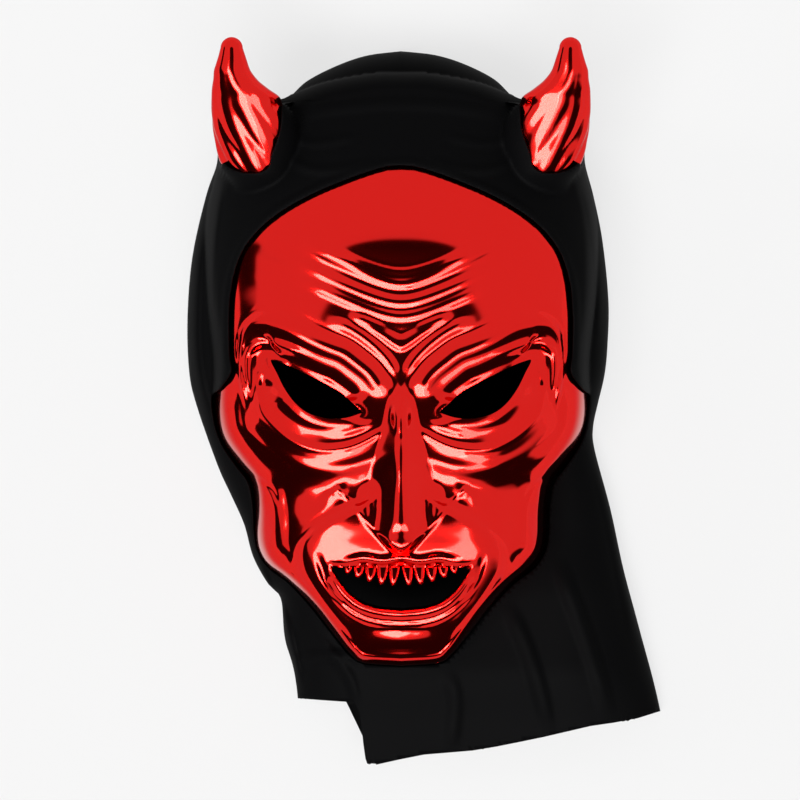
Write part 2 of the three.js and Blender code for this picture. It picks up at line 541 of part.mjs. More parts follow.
// A flat-sided tooth that hangs from the inside of the upper lip.
function tooth([at, half, tip], side) {
  const root = LIP + TOOTH_ROOT;
  const shoulder = tip + half;
  const z = faceHeight(at, root, farIn(at, root)) - TOOTH_BACK;
  const outline = [[at - half, root], [at - 0.8 * half, shoulder], [at - 0.3 * half, tip], [at + 0.3 * half, tip],
    [at + 0.8 * half, shoulder], [at + half, root]];
  return prism(outline.map(([x, y]) => [side * x, y]), z - TOOTH, z);
}

function maskShell() {
  const outerFace = faceGrid();
  const innerFace = moved(outerFace, -WALL);
  let outer = between2(outerFace, dropped(outerFace, (x, y) => through(RIM, y)));
  let inner = between2(innerFace, dropped(innerFace, () => BELOW));
  const hornOut = horn(0, 2 * FLUTES, hornLevels(ABOVE), ABOVE, true);
  const hornIn = horn(WALL + FLUTE_ROOM, 12, hornLevels(ABOVE, 2), ABOVE);
  outer = outer.add(hornOut).add(hornOut.mirror([1, 0, 0]));
  inner = inner.add(hornIn).add(hornIn.mirror([1, 0, 0]));
  let shell = outer.subtract(inner);
  for (const side of [1, -1]) {
    shell = shell.subtract(prism(closedPath(EYE, 2).map(([x, y]) => [side * x, y]), 0, ABOVE));
  }
  shell = shell.subtract(mouthPrism());
  for (const side of [1, -1]) for (const t of TEETH) shell = shell.add(tooth(t, side));
  return shell.simplify(FINEST);
}

// The hood

const rightPath = smoothPath([...HOOD_RIGHT, RIGHT_PAST_HEM], 2);
const leftPath = smoothPath([...HOOD_LEFT, LEFT_PAST_HEM], 2);
const hoodSides = [...[...leftPath].reverse(), ...rightPath.slice(1)];

function widthAt(path, y) {
  let i = 0;
  while (i < path.length - 2 && path[i + 1][1] > y) i++;
  const [a, b] = [path[i], path[i + 1]];
  const t = Math.min(1, Math.max(0, (a[1] - y) / Math.max(a[1] - b[1], 1e-6)));
  return a[0] + (b[0] - a[0]) * t;
}

// Height of the hood's upper cloth, with its side edges drawn in and its surface lowered by thin.
function clothHeight(x, y, thin) {
  const far = Math.max(0, Math.abs(fromPath(hoodSides, x, y).off) - thin);
  const inward = Math.min(1, far / through(HOOD_ROUND, y));
  return CLOTH + (through(HOOD_RISE, y) - CLOTH) * Math.sqrt(1 - (1 - inward) ** 2) - thin;
}

function clothSolid(thin, low) {
  const grid = [];
  const lowest = HEM[6][1] - PAST_HEM;
  const highest = HOOD_RIGHT[0][1] - thin - CLEAR;
  for (let r = 0; r <= CLOTH_ROWS; r++) {
    const y = lowest + (highest - lowest) * Math.sin((r / CLOTH_ROWS) * Math.PI / 2) ** 0.9;
    const inward = thin || -CLEAR;
    const [left, right] = [widthAt(leftPath, y) + inward, widthAt(rightPath, y) - inward];
    const row = [];
    for (let c = 0; c <= CLOTH_COLUMNS; c++) {
      const t = 2 * c / CLOTH_COLUMNS - 1;
      const x = left + (right - left) * (0.5 + 0.5 * Math.sin(t * Math.PI / 2));
      row.push([x, y, Math.max(low + 0.1, clothHeight(x, y, thin))]);
    }
    grid.push(row);
  }
  return between2(grid, dropped(grid, () => low));
}

// The shell's own outside without its horns, swollen by some gap, as the cloth that lies on it sees it.
function swollenFace(by) {
  const columns = faceColumns().filter((s, c) => c % 2 === 0 || Math.abs(s) > EDGE_COLUMNS);
  const plain = faceRows().filter((y, r) => r % 3 === 0 || y > FEATURES_TOP).map((y) => columns.map((s) => {
    const x = s * halfWidth(y);
    return [x, y, faceBase(x, y, farIn(x, y))];
  }));
  const grid = moved(plain, by);
  return between2(grid, dropped(grid, () => REST - GAP));
}

function openingPrism() {
  const upper = smoothPath(FACE_OPENING, 2);
  const lower = edgePath.filter(([, y]) => y < BREAK).map(([x, y]) => [x, y]);
  const half = [...upper, ...swell(lower, GAP + OPENING_ROOM)];
  return prism([...mirrored(half).reverse(), ...half.slice(1)].filter(distinct), 1.25 * CLOTH, ABOVE);
}

const distinct = ([x, y], i, all) => i === 0 || Math.hypot(x - all[i - 1][0], y - all[i - 1][1]) > SAME;

// The path moved to its right, which is outward on the shell's outline.
function swell(path, by) {
  return path.map(([x, y], i) => {
    const [a, b] = [path[Math.max(0, i - 1)], path[Math.min(path.length - 1, i + 1)]];
    const length = Math.hypot(b[0] - a[0], b[1] - a[1]);
    return [x - by * (b[1] - a[1]) / length, y + by * (b[0] - a[0]) / length];
  });
}

function hood() {
  const plan = [...leftPath.slice(0, -2).reverse(), ...rightPath.slice(1, -2), ...HEM].filter(distinct);
  const sleeve = (room) => {
    const one = horn(-room, 12, hornLevels(HORN_FOOT), HORN_FOOT);
    return one.add(one.mirror([1, 0, 0]));
  };
  const outside = clothSolid(0, CLOTH / 2).add(swollenFace(GAP + SAG + CLOTH)).add(sleeve(HORN_ROOM + CLOTH));
  const hollow = clothSolid(CLOTH, CLOTH).add(swollenFace(GAP + SAG)).add(sleeve(HORN_ROOM));
  const hornHole = prism(closedPath(HORN_HOLE, 2), HORN[0][4], ABOVE)
    .add(horn(-HORN_ROOM, 12, hornLevels(ABOVE), ABOVE));
  return outside.subtract(hollow)
    .subtract(openingPrism())
    .subtract(hornHole)
    .subtract(hornHole.mirror([1, 0, 0]))
    .intersect(prism(plan, 0, ABOVE))
    .add(prism(plan, 0, CLOTH))
    .simplify(CLOTH_FINEST);
}

const shell = maskShell();
const cover = hood();

const RED = new THREE.MeshStandardMaterial({ color: 0xde2512, metalness: 1, roughness: 0.06 });
const BLACK = new THREE.MeshStandardMaterial({ color: 0x0a0a0a, metalness: 0, roughness: 0.85 });

const mask = new THREE.Group();
const add = (name, solid, material) => {
  const mesh = new THREE.Mesh(geometryOf(solid), material);
  mesh.name = name;
  mask.add(mesh);
};
add('mask_shell', shell, RED);
add('hood', cover, BLACK);

export default mask;
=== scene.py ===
import bpy
import bmesh
import math
import numpy as np
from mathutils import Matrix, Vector


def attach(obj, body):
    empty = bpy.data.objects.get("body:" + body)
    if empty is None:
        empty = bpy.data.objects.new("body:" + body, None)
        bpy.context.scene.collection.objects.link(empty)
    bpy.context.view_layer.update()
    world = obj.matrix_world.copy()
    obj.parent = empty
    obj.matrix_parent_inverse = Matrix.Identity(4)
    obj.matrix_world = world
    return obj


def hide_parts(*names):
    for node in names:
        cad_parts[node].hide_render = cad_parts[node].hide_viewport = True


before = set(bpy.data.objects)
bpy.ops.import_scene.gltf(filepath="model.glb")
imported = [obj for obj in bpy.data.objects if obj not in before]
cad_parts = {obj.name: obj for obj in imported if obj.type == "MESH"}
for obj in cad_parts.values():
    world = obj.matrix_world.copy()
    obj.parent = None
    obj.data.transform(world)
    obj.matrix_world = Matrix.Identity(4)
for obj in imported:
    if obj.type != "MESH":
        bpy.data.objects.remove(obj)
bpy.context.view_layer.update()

MM = 0.001

# Sizes in millimetres. +X is to the right of the picture, +Y the top of the head, +Z up.
WALL = 1.2
TOP, BOTTOM = 129.5, -106.4
RIM_EDGE = 0.6
TINY = 1e-9
FACE_ROWS, FACE_COLUMNS = 330, 236
FACE_CROWD = 0.55

# The right half of the shell's outline, from the crown to the chin
EDGE = [(0, TOP), (12, TOP - 0.4), (30, 125.8), (44, 120.8), (53, 119), (61, 116), (67.8, 110.2),
        (71.5, 102.5), (72.2, 95), (74, 87), (77, 76), (78.4, 62), (78, 40), (75.6, 16), (75.3, -4),
        (72.5, -16), (66, -26), (60.8, -33), (59, -43), (58.6, -54), (57, -61), (53, -67), (44.5, -73.5),
        (35.5, -83), (26, -95), (20.5, -101.5), (15, -105.2), (0, BOTTOM)]
EYE = [(52, 15.8), (49.5, 10.5), (46.5, 4.5), (42, -1.5), (36.5, -5.5), (29.5, -7.4), (22.5, -7.2),
       (17, -5.6), (15.5, -4.6), (19.5, -1), (24.5, 3.4), (34.5, 8.8), (43.5, 13.2), (49, 15.4)]
LOWER_LIP = [(0, -83.2), (9.5, -82.2), (15.7, -80.2), (20.8, -76.4), (24, -72.6), (26.3, -69)]
UPPER_LIP = -66.8
# The teeth of the right side: middle, half width and tip.
TEETH = [(2.3, 2.25, -74.1), (7.0, 2.3, -73.7), (11.8, 2.35, -72.6), (16.6, 2.3, -71), (20.9, 1.8, -69.4)]

# The face's section by height: its half width, how square it is across, how full, the width over which its
# edge rounds in, the height of its middle line and the height of the rim.
DOME_WIDTH = [(-107, 27), (-95, 33), (-80, 45), (-60, 61), (-40, 66), (-10, 78), (20, 80), (50, 82.5),
              (75, 80), (100, 75.5), (130, 67)]
DOME_SQUARE = [(-107, 3.4), (-85, 3.4), (-60, 3.4), (-20, 3.8), (5, 4.0), (28, 3.6), (50, 2.5), (130, 2.1)]
DOME_POWER = [(-107, 0.5), (-60, 0.48), (-20, 0.48), (20, 0.48), (50, 0.44), (130, 0.5)]
EDGE_ROUND = [(-107, 3.2), (-70, 3.6), (-50, 4.5), (-10, 5.5), (40, 6), (130, 7)]
CROWN = [(-107, 50), (-100, 55.6), (-93, 60), (-86, 63), (-78, 65), (-66, 67.2), (-56, 69.2), (-45, 70.6),
         (-30, 70), (-15, 69), (5, 68.8), (30, 69.2), (50, 69.9), (60, 70.4), (68, 69.4), (74, 67.6),
         (82, 64.4), (95, 58), (108, 51.5), (120, 46), (130, 42)]
RIM = [(-107, 42), (-95, 36), (-80, 24), (-60, 10), (-38, 1.5), (45, 1.5), (70, 4), (95, 13), (130, 28)]

# Forehead furrows: the crest's place on the middle line, rise, half length, half width above and below,
# height and crispness.
FURROWS = [
    (50.9, 0.45, 34, 2.6, 2.8, 0.95, (1.6, 1.2)),
    (46.6, 0.55, 52, 2.8, 3.2, 1.5, (1.2, 1.2)),
    (42.6, 0.5, 34, 1.2, 1.4, 0.4, (1.2, 1.2)),
    (39.2, 0.47, 61, 3.2, 3.6, 1.7, (1.6, 1.2)),
    (33.6, 0.48, 55, 2.8, 3.2, 1.55, (1.2, 1.1)),
    (29.6, 0.37, 24, 1.6, 2.0, 0.5, (1.2, 1.2)),
]


# Curves

def spline(points, per=10):
    """A smooth curve through the points."""
    p = np.array(points, float)
    p = np.vstack([2 * p[0] - p[1], p, 2 * p[-1] - p[-2]])
    out = [curve_step(p[i - 1], p[i], p[i + 1], p[i + 2], per) for i in range(1, len(p) - 2)]
    return np.vstack(out + [p[-2][None]])


def curve_step(a, b, c, d, per):
    t = np.linspace(0, 1, per, endpoint=False)[:, None]
    return 0.5 * (2 * b + (c - a) * t + (2 * a - 5 * b + 4 * c - d) * t**2 + (3 * b - a - 3 * c + d) * t**3)


def loop(points, per=8):
    """A smooth closed curve through the points; its last point is its first."""
    p = np.array(points, float)
    n = len(p)
    out = np.vstack([curve_step(p[i - 1], p[i], p[(i + 1) % n], p[(i + 2) % n], per) for i in range(n)])
    return np.vstack([out, out[:1]])


def offset_from(curve, x, y):
    """Signed distance from a curve, positive on its left, and the share of its length reached."""
    a, b = curve[:-1], curve[1:]
    seg = b - a
    length = np.hypot(*seg.T)
    start = np.concatenate([[0], np.cumsum(length)])
    best = np.full(x.shape, 1e9)
    side = np.zeros(x.shape)
    place = np.zeros(x.shape)
    for i in range(len(a)):
        px, py = x - a[i, 0], y - a[i, 1]
        t = np.clip((px * seg[i, 0] + py * seg[i, 1]) / max(length[i] ** 2, TINY**2), 0, 1)
        d = np.hypot(px - t * seg[i, 0], py - t * seg[i, 1])
        near = d < best
        best = np.where(near, d, best)
        side = np.where(near, np.sign(seg[i, 0] * py - seg[i, 1] * px), side)
        place = np.where(near, (start[i] + t * length[i]) / start[-1], place)
    return best * np.where(side == 0, 1, side), place


def inside(curve, x, y):
    hit = np.zeros(x.shape, bool)
    for (x1, y1), (x2, y2) in zip(curve[:-1], curve[1:]):
        if y1 != y2:
            hit ^= ((y1 > y) != (y2 > y)) & (x < (x2 - x1) * (y - y1) / (y2 - y1) + x1)
    return hit


def ease(t):
    t = np.clip(t, 0, 1)
    return t * t * (3 - 2 * t)


def table(value, pairs):
    """A smooth value through pairs of place and height, with no overshoot."""
    xs, ys = np.array(pairs, float).T
    h = np.diff(xs)
    m = np.diff(ys) / h
    g = np.zeros_like(xs)
    for i in range(1, len(xs) - 1):
        if m[i - 1] * m[i] > 0:
            w1, w2 = 2 * h[i] + h[i - 1], h[i] + 2 * h[i - 1]
            g[i] = (w1 + w2) / (w1 / m[i - 1] + w2 / m[i])
    g[0], g[-1] = m[0], m[-1]
    v = np.clip(value, xs[0], xs[-1])
    i = np.clip(np.searchsorted(xs, v) - 1, 0, len(xs) - 2)
    t = (v - xs[i]) / h[i]
    return ((2 * t**3 - 3 * t**2 + 1) * ys[i] + (t**3 - 2 * t**2 + t) * h[i] * g[i]
            + (3 * t**2 - 2 * t**3) * ys[i + 1] + (t**3 - t**2) * h[i] * g[i + 1])


# The relief of the face, worked out on its right half

FOLD_SHARE = 0.62
NOSE_SHARE = 0.75
# A sweep takes up its sideways shift over this distance from its curve.
SHIFT_ROOM = 2


def roll(x, y, points, left, right, high, crisp=(1.5, 1.5), ends=(0.25, 0.25)):
    """A long raised fold along a curve, with its half width and crispness on the left and right."""
    c = spline(points)
    z = np.zeros_like(x)
    pad = max(left, right)
    near = ((x > c[:, 0].min() - pad) & (x < c[:, 0].max() + pad)
            & (y > c[:, 1].min() - pad) & (y < c[:, 1].max() + pad))
    d, t = offset_from(c, x[near], y[near])
    reach = np.clip(1 - (np.abs(d) / np.where(d > 0, left, right)) ** 2, 0, 1)
    z[near] = high * reach ** np.where(d > 0, crisp[0], crisp[1]) * fading(t, ends)
    return z


def fading(t, ends):
    """Falls to 0 over a share of a curve's length at each end. An end of 0 does not fade."""
    share = np.ones_like(t)
    if ends[0]:
        share = share * ease(t / ends[0])
    if ends[1]:
        share = share * ease((1 - t) / ends[1])
    return share


def sweep(x, y, points, profile, shift=None, ends=(0.1, 0.1)):
    """A profile, pairs of distance and height, carried along a curve. Distances to its left are positive."""
    d, t = offset_from(spline(points), x, y)
    if shift is not None:
        d = d + np.interp(t, *np.array(shift).T) * np.clip(d / SHIFT_ROOM, 0, 1)
    return table(d, profile) * fading(t, ends)


def mound(x, y, centre, radii, high, turn=0.0, power=2.0):
    """A rounded boss, or a hollow where high is negative."""
    c, s = np.cos(np.radians(turn)), np.sin(np.radians(turn))
    u, v = x - centre[0], y - centre[1]
    a, b = (u * c + v * s) / radii[0], (v * c - u * s) / radii[1]
    return high * np.clip(1 - (a * a + b * b), 0, 1) ** power


def bead(d, half):
    """The section of a round bead, 1 on its middle line."""
    return np.clip(1 - (d / half) ** 2, 0, 1)


def face_base(x, y, d):
    rim = table(y, RIM) + RIM_EDGE
    s = np.clip(np.abs(x) / table(y, DOME_WIDTH), 0, 1)
    dome = (1 - s ** table(y, DOME_SQUARE)) ** table(y, DOME_POWER)
    edge = np.sqrt(1 - (1 - np.clip(d / table(y, EDGE_ROUND), 0, 1)) ** 2)
    return rim + (table(y, CROWN) - rim) * dome * edge


def face_height(xs, ys, d):
    x, y = np.abs(xs), ys
    folds = forehead(x, y) + brows(x, y) + eyes(x, y) + cheeks(x, y)
    return face_base(x, y, d) + FOLD_SHARE * folds + NOSE_SHARE * nose(x, y) + mouth(x, y, d)


# The middle line between a furrow's two straight arms is rounded over this distance.
FURROW_SOFT = 10
FURROW_END = 0.45


def forehead(x, y):
    z = np.zeros_like(x)
    for crest, slope, half, up, down, high, crisp in FURROWS:
        away = np.sqrt(x * x + FURROW_SOFT**2)
        d = (y - crest - slope * (away - FURROW_SOFT)) / np.sqrt(1 + (slope * x / away) ** 2)
        reach = np.clip(1 - (np.abs(d) / np.where(d > 0, up, down)) ** 2, 0, 1)
        z += high * reach ** np.where(d > 0, crisp[0], crisp[1]) * ease((half - x) / (FURROW_END * half))
    return z


# The brow is a profile swept from the temple over the eye and down beside the bridge of the nose.
BROW_LINE = [(62.5, -5), (64.4, 5), (65.2, 15), (64.8, 24), (62.5, 31), (57.5, 35.4), (52, 36.6),
             (46.9, 35.7), (41.6, 33.8), (33.9, 29.9), (27.2, 27), (20, 24.2), (13.8, 19.8), (8, 15),
             (3.9, 9.3), (2, 4), (1.4, -1)]
BROW_PROFILE = [(-6, 0), (-2, -0.1), (-0.3, -0.5), (0.6, -0.1), (2.5, 1.5), (4.5, 2.4), (6, 2.7),
                (7.4, 2.35), (8.6, 1.6), (10.2, 0.2), (11.4, -0.4), (12.6, -0.9), (14, -1.9),
                (16, -4.0), (18.5, -6.4), (24, -7.0), (31, -5.2), (43, 0)]
BROW_SHIFT = [(0, 10), (0.2, 10), (0.36, 1.5), (0.42, 0), (1, 0)]
BROW_ENDS = (0.09, 0.1)
# Folds: the curve, half width on its left and right, height, crispness and the shares over which it fades.
BROW_FOLDS = [
    ([(22, 34.4), (16, 32), (9, 28), (3, 24), (0, 22.4)], 3.2, 3.4, 1.3, (1.2, 1.2), (0.3, 0.0)),
    ([(14, 30), (8, 26), (2, 21.6), (0, 20.4)], 1.3, 1.3, 0.45, (1.2, 1.2), (0.3, 0.0)),
    ([(30, 33), (22, 29.8), (15, 25.6), (9, 20.6), (4, 14.6), (0.6, 7)],
     3.8, 2.2, 1.5, (1.4, 1.2), (0.25, 0.2)),
]


def brows(x, y):
    z = sweep(x, y, BROW_LINE, BROW_PROFILE, BROW_SHIFT, BROW_ENDS)
    for fold in BROW_FOLDS:
        z += roll(x, y, *fold)
    return z


# The lower lid, by distance from the opening. It ends along a slanting line through both corners of the eye.
LID_PROFILE = [(-3, 2.6), (0, 2.9), (0.9, 3.1), (1.6, 2.7), (2.2, 2.8), (3.0, 2.5), (4.5, 1.2), (7, 0.1),
               (8.5, 0)]
LID_SLANT, LID_LEVEL, LID_SOFT = 0.5, -17.0, 6
UPPER_BEAD, UPPER_BEAD_AT, UPPER_BEAD_HALF = 0.7, 0.9, 1.3
# Left, right, bottom and top of the part of the face that the lids lie in.
LID_AREA = (4, 66, -30, 28)
EYE_FOLDS = [
    # The frame round the outer corner
    ([(34, 16.4), (44, 20.2), (52, 22.6), (57.6, 22.2), (61.4, 18.6), (62.4, 12), (61.8, 4), (61, -4)],
     1.7, 2.2, 1.9, (1.5, 1.3), (0.3, 0.25)),
    # The crescent under the inner half of the lid
    ([(32.5, -13.8), (26, -13.6), (19, -12.2), (12.5, -9.6), (7, -7.7)],
     1.6, 2.2, 1.0, (0.9, 1.6), (0.4, 0.4)),
]
# The ring under the eye and the slope down from it to the cheek
EYE_RING = [(54, 15), (56.2, 12), (57.2, 6.4), (56.8, -0.8), (55, -5.6), (51.2, -9.9), (46.4, -14.2),
            (41.6, -17.1), (35.8, -19.3), (29.6, -20), (24.3, -19.5), (19.5, -18.4), (13.8, -16),
            (8, -12.6), (4.2, -9.9)]
RING_FOLD = (1.4, 2.2, 1.5, (1.2, 1.6), (0.06, 0.12))
RING_PROFILE = [(-3, 0), (0, 0.0), (1.2, 0.2), (4.6, -1.2), (6.2, -1.6), (7.6, -2.1), (9.2, -3.3),
                (12, -5.6), (16, -7.6), (20, -8.2), (30, -7.4), (45, -5), (70, 0)]
RING_ENDS = (0.4, 0.22)


def eyes(x, y):
    z = np.zeros_like(x)
    eye = loop(EYE)
    left, right, bottom, top = LID_AREA
    near = (x > left) & (x < right) & (y > bottom) & (y < top)
    d, _ = offset_from(eye, x[near], y[near])
    d = np.where(inside(eye, x[near], y[near]), -np.abs(d), np.abs(d))
    below = ease((LID_SLANT * x[near] + LID_LEVEL - y[near]) / LID_SOFT + 0.5)
    z[near] += table(d, LID_PROFILE) * below
    z[near] += UPPER_BEAD * bead(d - UPPER_BEAD_AT, UPPER_BEAD_HALF) * (1 - below)
    for fold in EYE_FOLDS:
        z += roll(x, y, *fold)
    z += roll(x, y, EYE_RING, *RING_FOLD)
    z += sweep(x, y, EYE_RING, RING_PROFILE, ends=RING_ENDS)
    return z


CHEEK_FOLDS = [
    # The cheekbone
    ([(72, 9), (71.5, -4), (68.5, -14), (61.5, -22.5), (53.5, -29), (47.6, -36)],
     7, 8, 6.5, (1.6, 1.6), (0.25, 0.35)),
    # The leaf beside the nose
    ([(33, -41.4), (26.4, -37.4), (19.6, -33.4)], 3.4, 3.0, 1.5, (1.4, 1.4), (0.4, 0.4)),
    # The jaw plate and the groove over it
    ([(54.4, -30), (53.4, -40), (52.4, -50), (52, -60), (48.6, -68)],
     7.5, 7.5, 5.0, (1.6, 1.2), (0.3, 0.25)),
    ([(60.8, -30), (55.6, -32.4), (51, -36.6), (48.8, -43)], 1.1, 1.1, -1.2, (1, 1), (0.1, 0.4)),
    # The slot in the temple
    ([(64.2, 27), (64.6, 20), (63.8, 12), (62.4, 5)], 1.1, 1.1, -2.2, (1, 1), (0.15, 0.15)),
    # The groove beside the mouth
    ([(33.5, -60), (32, -66), (29.8, -72), (24, -82)], 2.0, 2.4, -1.4, (1.6, 1.6), (0.3, 0.3)),
]
# Mounds: centre, radii, height, turn in degrees and power.
CHEEK_MOUNDS = [
    ((61, -3), (5, 12), -2.0, 8, 2.0),
    # The dished oval in the jaw plate
    ((54, -48), (3.4, 10.5), -1.8, 3, 1.2),
]
# The muzzle, swept along the fold from the nose's wing down round the mouth
MUZZLE_EDGE = [(17, -42), (22.6, -44.8), (27.5, -47.3), (32.4, -50.3), (36.1, -53.4), (39.1, -57.1),
               (40.3, -61), (40.4, -65), (39.6, -69.5), (37.9, -73), (34.8, -77.9), (31.2, -82.2),
               (27.5, -86.5), (22.6, -92), (15.8, -98.8)]
MUZZLE_PROFILE = [(-34, 0), (-20, 2.0), (-12, 3.4), (-6, 4.3), (-2.6, 4.5), (-1.2, 4.1), (0, 3.0), (1, 1.6),
                  (2, 0.7), (3.2, 0.3), (5, 0.6), (7, 0.3), (9, 0)]
MUZZLE_ENDS = (0.0, 0.2)
# It rises over the first distance below its top, over the second above its bottom, and beside the nose.
MUZZLE_TOP, MUZZLE_TOP_SOFT = -36, 7
MUZZLE_BOTTOM, MUZZLE_BOTTOM_SOFT = -106, 12
MUZZLE_NOSE_SOFT = 5


def cheeks(x, y):
    z = sweep(x, y, MUZZLE_EDGE, MUZZLE_PROFILE, ends=MUZZLE_ENDS)
    z *= ease((y - MUZZLE_BOTTOM) / MUZZLE_BOTTOM_SOFT) * ease((MUZZLE_TOP - y) / MUZZLE_TOP_SOFT)
    z *= 1 - over_lip(x, y)[0] * ease((table(y, NOSE_HALF) - x) / MUZZLE_NOSE_SOFT)
    for fold in CHEEK_FOLDS:
        z += roll(x, y, *fold)
    for hollow in CHEEK_MOUNDS:
        z += mound(x, y, *hollow)
    return z


# The nose by height: its half width, how high its ridge stands, and the half width of the ridge.
NOSE_HALF = [(-62, 17.4), (-56, 15.4), (-50, 14), (-43, 13.2), (-36, 12.8), (-28, 11.4), (-18, 9.0),
             (-8, 6.6), (8, 4)]
NOSE_HIGH = [(-62, 10.3), (-57.6, 10.7), (-52.8, 9.9), (-49.6, 10.5), (-46, 10.1), (-42, 9.8), (-38, 9.6),
             (-34, 9.5), (-30, 9.3), (-22, 8.1), (-12, 6.2), (-5, 4.0), (2, 1.4), (10, 0)]
NOSE_RIDGE = [(-60, 4.4), (-54, 4.2), (-48, 2.4), (-34, 1.7), (-3, 1.0), (8, 0.3)]
NOSE_HOLLOW = 1.1
# Distances from the middle line are rounded near it: what is added under the root, and taken from it.
RIDGE_ADD, RIDGE_LESS = 0.5, 0.2
# The saddle, the tip and a wing
NOSE_MOUNDS = [
    ((0, -5), (5, 10), 2.6, 0, 1.4),
    ((0, -55), (5.2, 4.4), 0.4, 0, 1.3),
    ((12.8, -37.4), (4.6, 5.6), 2.0, 20, 1.5),
]
# The line where the nose and its wings end over the lip, how softly they end, and the bead along it
NOSE_UNDER = [(26, -35), (18.4, -42.4), (13.2, -49.2), (6.8, -55.9), (3, -59.6), (0, -60.8)]
NOSE_UNDER_SOFT = 2.0
NOSE_BEAD = 0.6
# Right, bottom and top of the part of the face that the line lies in, and a level under the nose
UNDER_AREA = (30, -66, -30)
BELOW_NOSE = -64
FAR_OFF = 9.0


def over_lip(x, y):
    """1 above the line where the nose and its wings end over the lip and 0 below, and the distance to it."""
    right, bottom, top = UNDER_AREA
    near = (x < right) & (y > bottom) & (y < top)
    d, _ = offset_from(spline(NOSE_UNDER), x[near], y[near])
    above = np.where(y < BELOW_NOSE, 0.0, 1.0)
    above[near] = ease(-d / NOSE_UNDER_SOFT + 0.5)
    edge = np.full_like(x, FAR_OFF)
    edge[near] = d
    return above, edge


def nose(x, y):
    half, ridge = table(y, NOSE_HALF), table(y, NOSE_RIDGE)
    off = np.sqrt(x * x + RIDGE_ADD) - RIDGE_LESS
    side = np.clip(1 - np.clip(off - ridge, 0, None) / (half - ridge), 0, 1)
    z = table(y, NOSE_HIGH) * side**NOSE_HOLLOW
    for boss in NOSE_MOUNDS:
        z += mound(x, y, *boss)
    above, edge = over_lip(x, y)
    return z * above + NOSE_BEAD * bead(edge, 1)


# Behind the upper lip the face steps back to the teeth.
LIP_WAVE, LIP_WAVES, LIP_DROP = 0.5, 0.42, 0.35
LIP_STEP = 5.0
MOUTH_HALF, MOUTH_END = 28.6, 2.0
MOUTH_CORNER = (29, -65)
LOWER_SOFT = 1.2
# The upper lip's bead and the groove over it: height, place over the lip, half width, half length and end.
LIP_BEAD, LIP_BEAD_AT, LIP_BEAD_HALF, LIP_BEAD_LONG, LIP_BEAD_END = 0.9, 0.7, 1, 30, 3
LIP_GROOVE, LIP_GROOVE_AT, LIP_GROOVE_HALF, LIP_GROOVE_LONG, LIP_GROOVE_END = 1.6, 3.4, 2.6, 26, 10
LIP_GROOVE_POWER = 1.5
GUM, GUM_WIDE, GUM_POWER = 1.5, 1.02, 0.6
LOWER_LIP_FOLDS = [
    ([(0, -85.6), (10, -84.6), (17, -82), (22.8, -77.4), (26.4, -72.6), (28.4, -69.4)],
     2.6, 2.8, 3.0, (0.9, 0.9), (0.0, 0.12)),
    ([(0, -89.8), (10, -89), (18, -86), (24.4, -80.8), (28.6, -75), (30.4, -70.5)],
     1.7, 1.9, 1.3, (1.0, 1.0), (0.0, 0.35)),
]
CHIN = ((0, -97), (17, 7), 1.2)
# The bead inside the shell's edge at the jaw: height, place, half width, and where it begins and how softly.
JAW_BEAD, JAW_BEAD_AT, JAW_BEAD_HALF, JAW_BEAD_TOP, JAW_BEAD_SOFT = 0.5, 2.6, 1.4, -60, 12


def mouth(x, y, edge):
    line = UPPER_LIP + LIP_WAVE * np.cos(x * LIP_WAVES) - LIP_DROP
    step = ease((line - y) + 0.5) * ease((MOUTH_HALF - x) / MOUTH_END)
    low = np.interp(x, *spline(LOWER_LIP + [MOUTH_CORNER]).T)
    behind = step * ease((y - low) / LOWER_SOFT + 0.5)
    over = y - line
    gums = np.zeros_like(x)
    for at, half, tip in TEETH:
        gums = np.maximum(gums, bead(x - at, half * GUM_WIDE) ** GUM_POWER * GUM)
    groove = bead(over - LIP_GROOVE_AT, LIP_GROOVE_HALF) ** LIP_GROOVE_POWER
    z = (gums - LIP_STEP) * behind
    z += LIP_BEAD * bead(over - LIP_BEAD_AT, LIP_BEAD_HALF) * ease((LIP_BEAD_LONG - x) / LIP_BEAD_END)
    z -= LIP_GROOVE * groove * ease((LIP_GROOVE_LONG - x) / LIP_GROOVE_END)
    for fold in LOWER_LIP_FOLDS:
        z += roll(x, y, *fold)
    z += mound(x, y, *CHIN)
    z += JAW_BEAD * bead(edge - JAW_BEAD_AT, JAW_BEAD_HALF) * ease((JAW_BEAD_TOP - y) / JAW_BEAD_SOFT)
    return z


# Meshes

def object_of(name, points, faces, smooth=True):
    mesh = bpy.data.meshes.new(name)
    mesh.from_pydata((np.asarray(points, float) * MM).tolist(), [], faces)
    mesh.update()
    if smooth:
        mesh.shade_smooth()
    obj = bpy.data.objects.new(name, mesh)
    bpy.context.scene.collection.objects.link(obj)
    return obj


def side_of(path, y, per=6):
    """How far to the side an outline lies at given heights. The outline's points go from top to bottom."""
    c = spline(path, per)
    ys = np.maximum.accumulate(c[::-1, 1] + np.arange(len(c)) * TINY)
    return np.interp(y, ys, c[::-1, 0])


def half_width(y):
    return side_of(EDGE, y, 12)


# The rows lie closer together at the chin and the crown: how far up or down, and with which share of them.
CHIN_LONG, CHIN_SHARE = 7, 0.07
CROWN_LONG, CROWN_SHARE = 25, 0.06


def face_rows(count):
    low, high = BOTTOM + CHIN_LONG, TOP - CROWN_LONG
    chin_turn = np.linspace(0, np.pi / 2, int(count * CHIN_SHARE), endpoint=False)
    crown_turn = np.linspace(0, np.pi / 2, int(count * CROWN_SHARE))
    chin = BOTTOM + CHIN_LONG * (1 - np.cos(chin_turn))
    crown = high + CROWN_LONG * np.sin(crown_turn)
    middle = np.linspace(low, high, count - len(chin) - len(crown), endpoint=False)
    return np.concatenate([chin, middle, crown])


